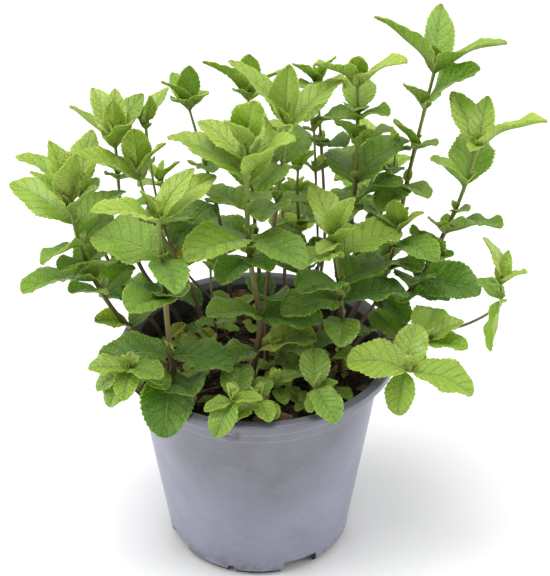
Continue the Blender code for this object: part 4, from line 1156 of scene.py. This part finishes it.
def leaf_finish(name, upper, **constants):
    """A green paler towards the shoot's tip, with a net of veins, painted glints, light and shade, and faded
    spots.
    """
    made, wire, shader = material(name, Subsurface_Weight=0.45, Subsurface_Radius=(1.2, 1.8, 0.3),
                                  Subsurface_Scale=1.4 * MM, Sheen_Weight=0.03, **constants)
    place = wire.node("TexCoord", output="Object")
    tint = wire.node("Attribute", {"attribute_name": "tint"})
    age, yellowing, chance = wire.parts("SeparateColor", tint, ("Red", "Green", "Blue"))
    side_veins, midrib, near = blade_veins(wire)
    net = wire.node("TexVoronoi", {"feature": "DISTANCE_TO_EDGE"}, {"Vector": place, "Scale": 560})
    mesh_veins = 1 - net.between(0.02, 0.20)
    # Painted glints: whitish spots on the puffs between the veins stand in for highlights.
    painted_glints = net.between(0.10, 0.45) * wire.noise(place, 700, 2).between(0.42, 0.62)
    clouds = wire.noise(place, 75, 3)
    green = (age * 2).between(0, 1).mix(YOUNG_GREEN, FULL_GREEN)
    green = (age * 2 - 1).between(0, 1).mix(green, OLD_GREEN)
    # Painted light and shade: high-chance leaves are painted as if sunlit, low-chance leaves as if shaded.
    green = ((chance * 2 - 1).between(0, 1) * 0.45).mix(green, SUNLIT_GREEN)
    green = ((1 - chance * 2).between(0, 1) * 0.45).mix(green, SHADED_GREEN)
    green = ((clouds - 0.40) * 0.7).mix(green, CLOUD_GREEN)
    green = (mesh_veins * (0.05 + 0.19 * age)).mix(green, NET_GREEN)
    green = (painted_glints * 0.32).mix(green, GLINT_GREEN)
    # On the upper face the side veins are painted darker, as painted shade in their sunk grooves; under, they
    # take a paler vein green.
    green = (side_veins * (0.03 + 0.27 * age)).mix(green, VEIN_GROOVE_SHADE if upper else VEIN_GREEN)
    green = (midrib * (0.25 + 0.35 * age)).mix(green, VEIN_GREEN)
    spread = wire.noise(place, 130, 4, 0.7)
    yellow = yellowing * (near * 0.5 + spread).between(0.45, 0.85)
    green = yellow.mix(green, FADED_YELLOW)
    brown = (yellowing * (near * 0.6 + spread)).between(0.78, 0.95)
    green = brown.mix(green, DEAD_BROWN)
    # The under face is mixed towards a bright yellow-green: partly its own paler colour, partly painted light
    # glowing through the leaf.
    if not upper:
        green = wire.node("Mix", {"data_type": "RGBA"}, {0: 0.22, 6: green, 7: UNDER_PALE_AND_GLOW}, 2)
    wire.feed(shader["Base Color"], green)
    wire.feed(shader["Roughness"], 0.46 + 0.15 * clouds + 0.1 * mesh_veins - 0.06 * age)
    if upper:
        wire.feed(shader["Coat Weight"], 0.15 + chance.between(0.45, 0.80) * (0.30 + 0.5 * clouds))
    relief = net.between(0, 0.5) * 0.45 - side_veins * 0.45 - midrib * 0.6
    wire.feed(shader["Normal"], wire.bump(relief if upper else 1 - relief, 0.9 * MM, 1.0))
    return made


def stem_finish():
    made, wire, shader = material("stem_skin")
    place = wire.node("TexCoord", output="Object")
    tint = wire.node("SeparateColor", None, {0: wire.node("Attribute", {"attribute_name": "tint"})}, "Red")
    streaks = wire.noise(wire.stretched(place, 1, 1, 0.12), 900, 3)
    share = tint + (wire.noise(place, 60, 2) - 0.5) * 0.35
    skin = wire.node("ValToRGB", {"stops": STEM_COLOURS}, {0: share})
    skin = ((streaks - 0.35) * 0.5).mix(skin, STEM_STRAW)
    wire.feed(shader["Base Color"], skin)
    wire.feed(shader["Roughness"], 0.42 + 0.3 * streaks)
    wire.feed(shader["Normal"], wire.bump(streaks, 0.2 * MM, 0.6))
    return made


leaf_materials = [
    leaf_finish("leaf_upper", True, Specular_IOR_Level=0.32, Coat_Roughness=0.42),
    leaf_finish("leaf_under", False, Specular_IOR_Level=0.28),
    stem_finish(),
]

TIP_PAIRS = ((90, 12, 70), (0, 7.5, 80))
AXIL_LEAF = 7
YELLOWING_CHANCE = 0.09


def leaf_age(stem, share):
    """From near 0 for a leaf at the tip of a tall shoot to 1 for one low down; short shoots stay younger."""
    height = stem.points[-1].z - SOIL_LEVEL
    oldest = 1.0 if height > SHORT_SHOOT else 0.5
    newest = 0.12 if height > SHORT_SHOOT else 0.3
    return newest + (oldest - newest) * min(1, max(0, 1.45 * (1 - share)))


stems = [Stem(name, radius, points) for name, (radius, points, _) in STEMS.items()]
leaves = place_leaves(stems, pot_space)
draw = random.Random(11)
for stem in stems:
    foliage = Foliage()
    pairs = STEMS[stem.name][2]
    nodes = sorted({share for share, *_ in pairs})
    grow_stem(foliage, stem, nodes)
    for leaf in leaves[stem]:
        yellowing = draw.uniform(0.4, 0.9) if leaf.share < 0.4 and draw.random() < YELLOWING_CHANCE else 0
        tint = (leaf_age(stem, leaf.share), yellowing, draw.random(), 1)
        grow_blade(foliage, leaf, tint, draw)
    last_heading = pairs[-1][1][0]
    for turn, length, rise in TIP_PAIRS:
        for half in (0, 180):
            size = length * draw.uniform(0.8, 1.15) * min(1, 0.55 + stem.radius / (3 * MM))
            heading = last_heading + turn + half + draw.uniform(-12, 12)
            bud = Leaf(stem, 1.0, heading, size, rise + draw.uniform(-8, 6))
            grow_blade(foliage, bud, (0, 0, draw.random(), 1), draw)
    for share in nodes:
        if 0.25 < share < 0.97:
            heading = next(first[0] for node, first, *_ in pairs if node == share)
            for half in (0, 180):
                size = AXIL_LEAF * draw.uniform(0.6, 1.4)
                leaf_heading = heading + half + draw.uniform(-30, 30)
                axil = Leaf(stem, min(1, share + 0.012), leaf_heading, size, draw.uniform(45, 70))
                grow_blade(foliage, axil, (0.15, 0, draw.random(), 1), draw)
    shoot = foliage.mesh_object(stem.name + "_shoot", leaf_materials)
    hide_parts(stem.name)
    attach(shoot, "root")


# --- The litter ---------------------------------------------------------------------------------------------
# What has fallen or crept over the soil: dry creeping stems, dead leaves, a twig and a dead leaf stalk caught
# on the rim, and small seedling leaves between the shoots.


def tube(foliage, corners, width, tone):
    """A thin closed tube on a smooth line through its points, narrower at its ends."""
    line = Stem("line", 1, corners)
    sides, steps = 6, 6 * (len(corners) - 1)
    ring = [on_circle(1, k, sides) for k in range(sides)]
    points = []
    for step in range(steps + 1):
        centre, direction = line.at(step / steps)
        side = direction.cross(Vector((0, 0.3, 1))).normalized()
        front = side.cross(direction)
        reach = width * MM * (0.6 + 0.4 * math.sin(math.pi * step / steps))
        points += [centre + (side * x + front * y) * reach for x, y in ring]
    faces = [tuple(range(sides)), tuple(reversed(range(steps * sides, (steps + 1) * sides)))]
    for low in range(0, steps * sides, sides):
        faces += [(low + k, low + sides + k, low + sides + (k + 1) % sides, low + (k + 1) % sides)
                  for k in range(sides)]
    foliage.add(np.array(points), {STEM: faces}, np.full((len(points), 2), 0.5), np.array((tone, 0, 0, 1)))


def loose_leaf(foliage, x, y, lift, heading, length, rise, tint, draw):
    stub = Stem("stub", 0.6, ((x, y, 0), (x, y, 2)))
    stub.points = [Vector((x * MM, y * MM, soil_height(x * MM, y * MM) + (lift + k) * MM)) for k in (0, 2)]
    grow_blade(foliage, Leaf(stub, 0.5, heading, length, rise), tint, draw)


RIM_TWIG = ((-62, -38, 113.6), (-57, -44, 113.4), (-50, -47, 113.2), (-44, -51, 113.4))
RIM_LEAF_STALK = ((72, -2, 126), (77, -4, 124), (80, -7, 118), (79, -9, 113.5))
DEAD_LEAVES = 26
CREEPING_STEMS = 22
SEEDLINGS = 44

draw = random.Random(23)
litter_materials = [
    litter_finish("dead_leaf", (0.055, 0.028, 0.014), (0.21, 0.125, 0.055), 150),
    litter_finish("dead_leaf_under", (0.075, 0.045, 0.025), (0.23, 0.16, 0.09), 150),
    litter_finish("dead_stem", (0.040, 0.020, 0.013), (0.16, 0.085, 0.045), 90),
]
dead = Foliage()
for _ in range(DEAD_LEAVES):
    angle, radius = draw.uniform(0, math.tau), 56 * math.sqrt(draw.random())
    loose_leaf(dead, radius * math.cos(angle), radius * math.sin(angle), 0.6, draw.uniform(0, 360),
               draw.uniform(8, 15), draw.uniform(-4, 22), (1, 0, draw.random(), 1), draw)
for _ in range(CREEPING_STEMS):
    x, y = draw.uniform(-42, 42), draw.uniform(-42, 42)
    angle, reach = draw.uniform(0, math.tau), draw.uniform(10, 20)
    bend, hump = draw.uniform(-7, 7), draw.uniform(1, 6)
    ends = [(x + reach * k * math.cos(angle) - bend * (1 - k * k) * math.sin(angle),
             y + reach * k * math.sin(angle) + bend * (1 - k * k) * math.cos(angle))
            for k in (-1, -0.35, 0.35, 1)]
    heights = [soil_high.z / MM - 1.5 + rise for rise in (-1, hump, hump * 0.8, -1)]
    tube(dead, [(px, py, pz) for (px, py), pz in zip(ends, heights)], draw.uniform(0.4, 0.9), 0)
tube(dead, RIM_TWIG, 0.9, 0)
tube(dead, RIM_LEAF_STALK, 0.8, 0)
litter = dead.mesh_object("dead_leaves_and_stems", litter_materials)
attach(litter, "root")

seedlings = Foliage()
for _ in range(SEEDLINGS):
    angle, radius = draw.uniform(0, math.tau), 50 * math.sqrt(draw.uniform(0.05, 1))
    x, y = radius * math.cos(angle), radius * math.sin(angle)
    heading, lift = draw.uniform(0, 360), draw.uniform(1, 9)
    ground = soil_high.z / MM - 3
    tube(seedlings, ((x, y, ground), (x + 0.5, y, ground + 2 + lift)), 0.45, 0.6)
    for half in (0, 180):
        leaf_heading = heading + half + draw.uniform(-20, 20)
        length, rise = draw.uniform(6, 13), draw.uniform(-5, 25)
        tint = (draw.uniform(0.2, 0.8), draw.choice((0, 0, 0, 0.8)), draw.random(), 1)
        loose_leaf(seedlings, x, y, lift, leaf_heading, length, rise, tint, draw)
sprouts = seedlings.mesh_object("seedlings", leaf_materials)
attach(sprouts, "root")


# --- Where it stands ----------------------------------------------------------------------------------------
# A plain pale floor, soft light from all round, a large lamp above and one on each side, and the camera, a
# metre from the rim and looking down on it.

FLOOR_SIZE = 6.0
SKY_STRENGTH = 0.65
PLANT_MIDDLE = (0, 0, 0.16)
LAMPS = (
    ("lamp_above", (-0.2, -0.1, 1.5), 1.0, 19),
    ("lamp_left", (-1.3, -0.1, 0.5), 0.9, 9),
    ("lamp_right", (1.3, 0.0, 0.5), 0.9, 9),
)
CAMERA_DISTANCE = 1.0
CAMERA_RISE = math.radians(34.1)
CAMERA_PITCH = math.radians(32.46)
CAMERA_YAW = math.radians(0.592)
LENS = 124.06
SENSOR = 36

floor_white, wire, shader = material("floor_white")
place = wire.node("TexCoord", output="Object")
wire.feed(shader["Base Color"], wire.noise(place, 3).mix((0.93, 0.93, 0.93), (0.96, 0.96, 0.96)))
half = FLOOR_SIZE / 2
floor = new_object("floor", [(-half, -half, 0), (half, -half, 0), (half, half, 0), (-half, half, 0)],
                   [(0, 1, 2, 3)], floor_white)

world = bpy.data.worlds.new("soft_light")
world.use_nodes = True
world.node_tree.nodes["Background"].inputs["Color"].default_value = (1, 1, 1, 1)
world.node_tree.nodes["Background"].inputs["Strength"].default_value = SKY_STRENGTH
bpy.context.scene.world = world

for name, place, size, power in LAMPS:
    light = bpy.data.lights.new(name, "AREA")
    light.energy = power
    light.size = size
    lamp = bpy.data.objects.new(name, light)
    lamp.location = place
    lamp.rotation_euler = (Vector(PLANT_MIDDLE) - Vector(place)).to_track_quat("-Z", "Y").to_euler()
    bpy.context.scene.collection.objects.link(lamp)

camera_data = bpy.data.cameras.new("camera")
camera_data.sensor_fit = "VERTICAL"
camera_data.sensor_height = SENSOR
camera_data.lens = LENS
camera = bpy.data.objects.new("camera", camera_data)
camera.location = (0, -CAMERA_DISTANCE * math.cos(CAMERA_RISE),
                   POT_HEIGHT + CAMERA_DISTANCE * math.sin(CAMERA_RISE))
camera.rotation_euler = (math.pi / 2 - CAMERA_PITCH, 0, -CAMERA_YAW)
bpy.context.scene.collection.objects.link(camera)
bpy.context.scene.camera = camera
bpy.context.scene.view_settings.view_transform = "Standard"
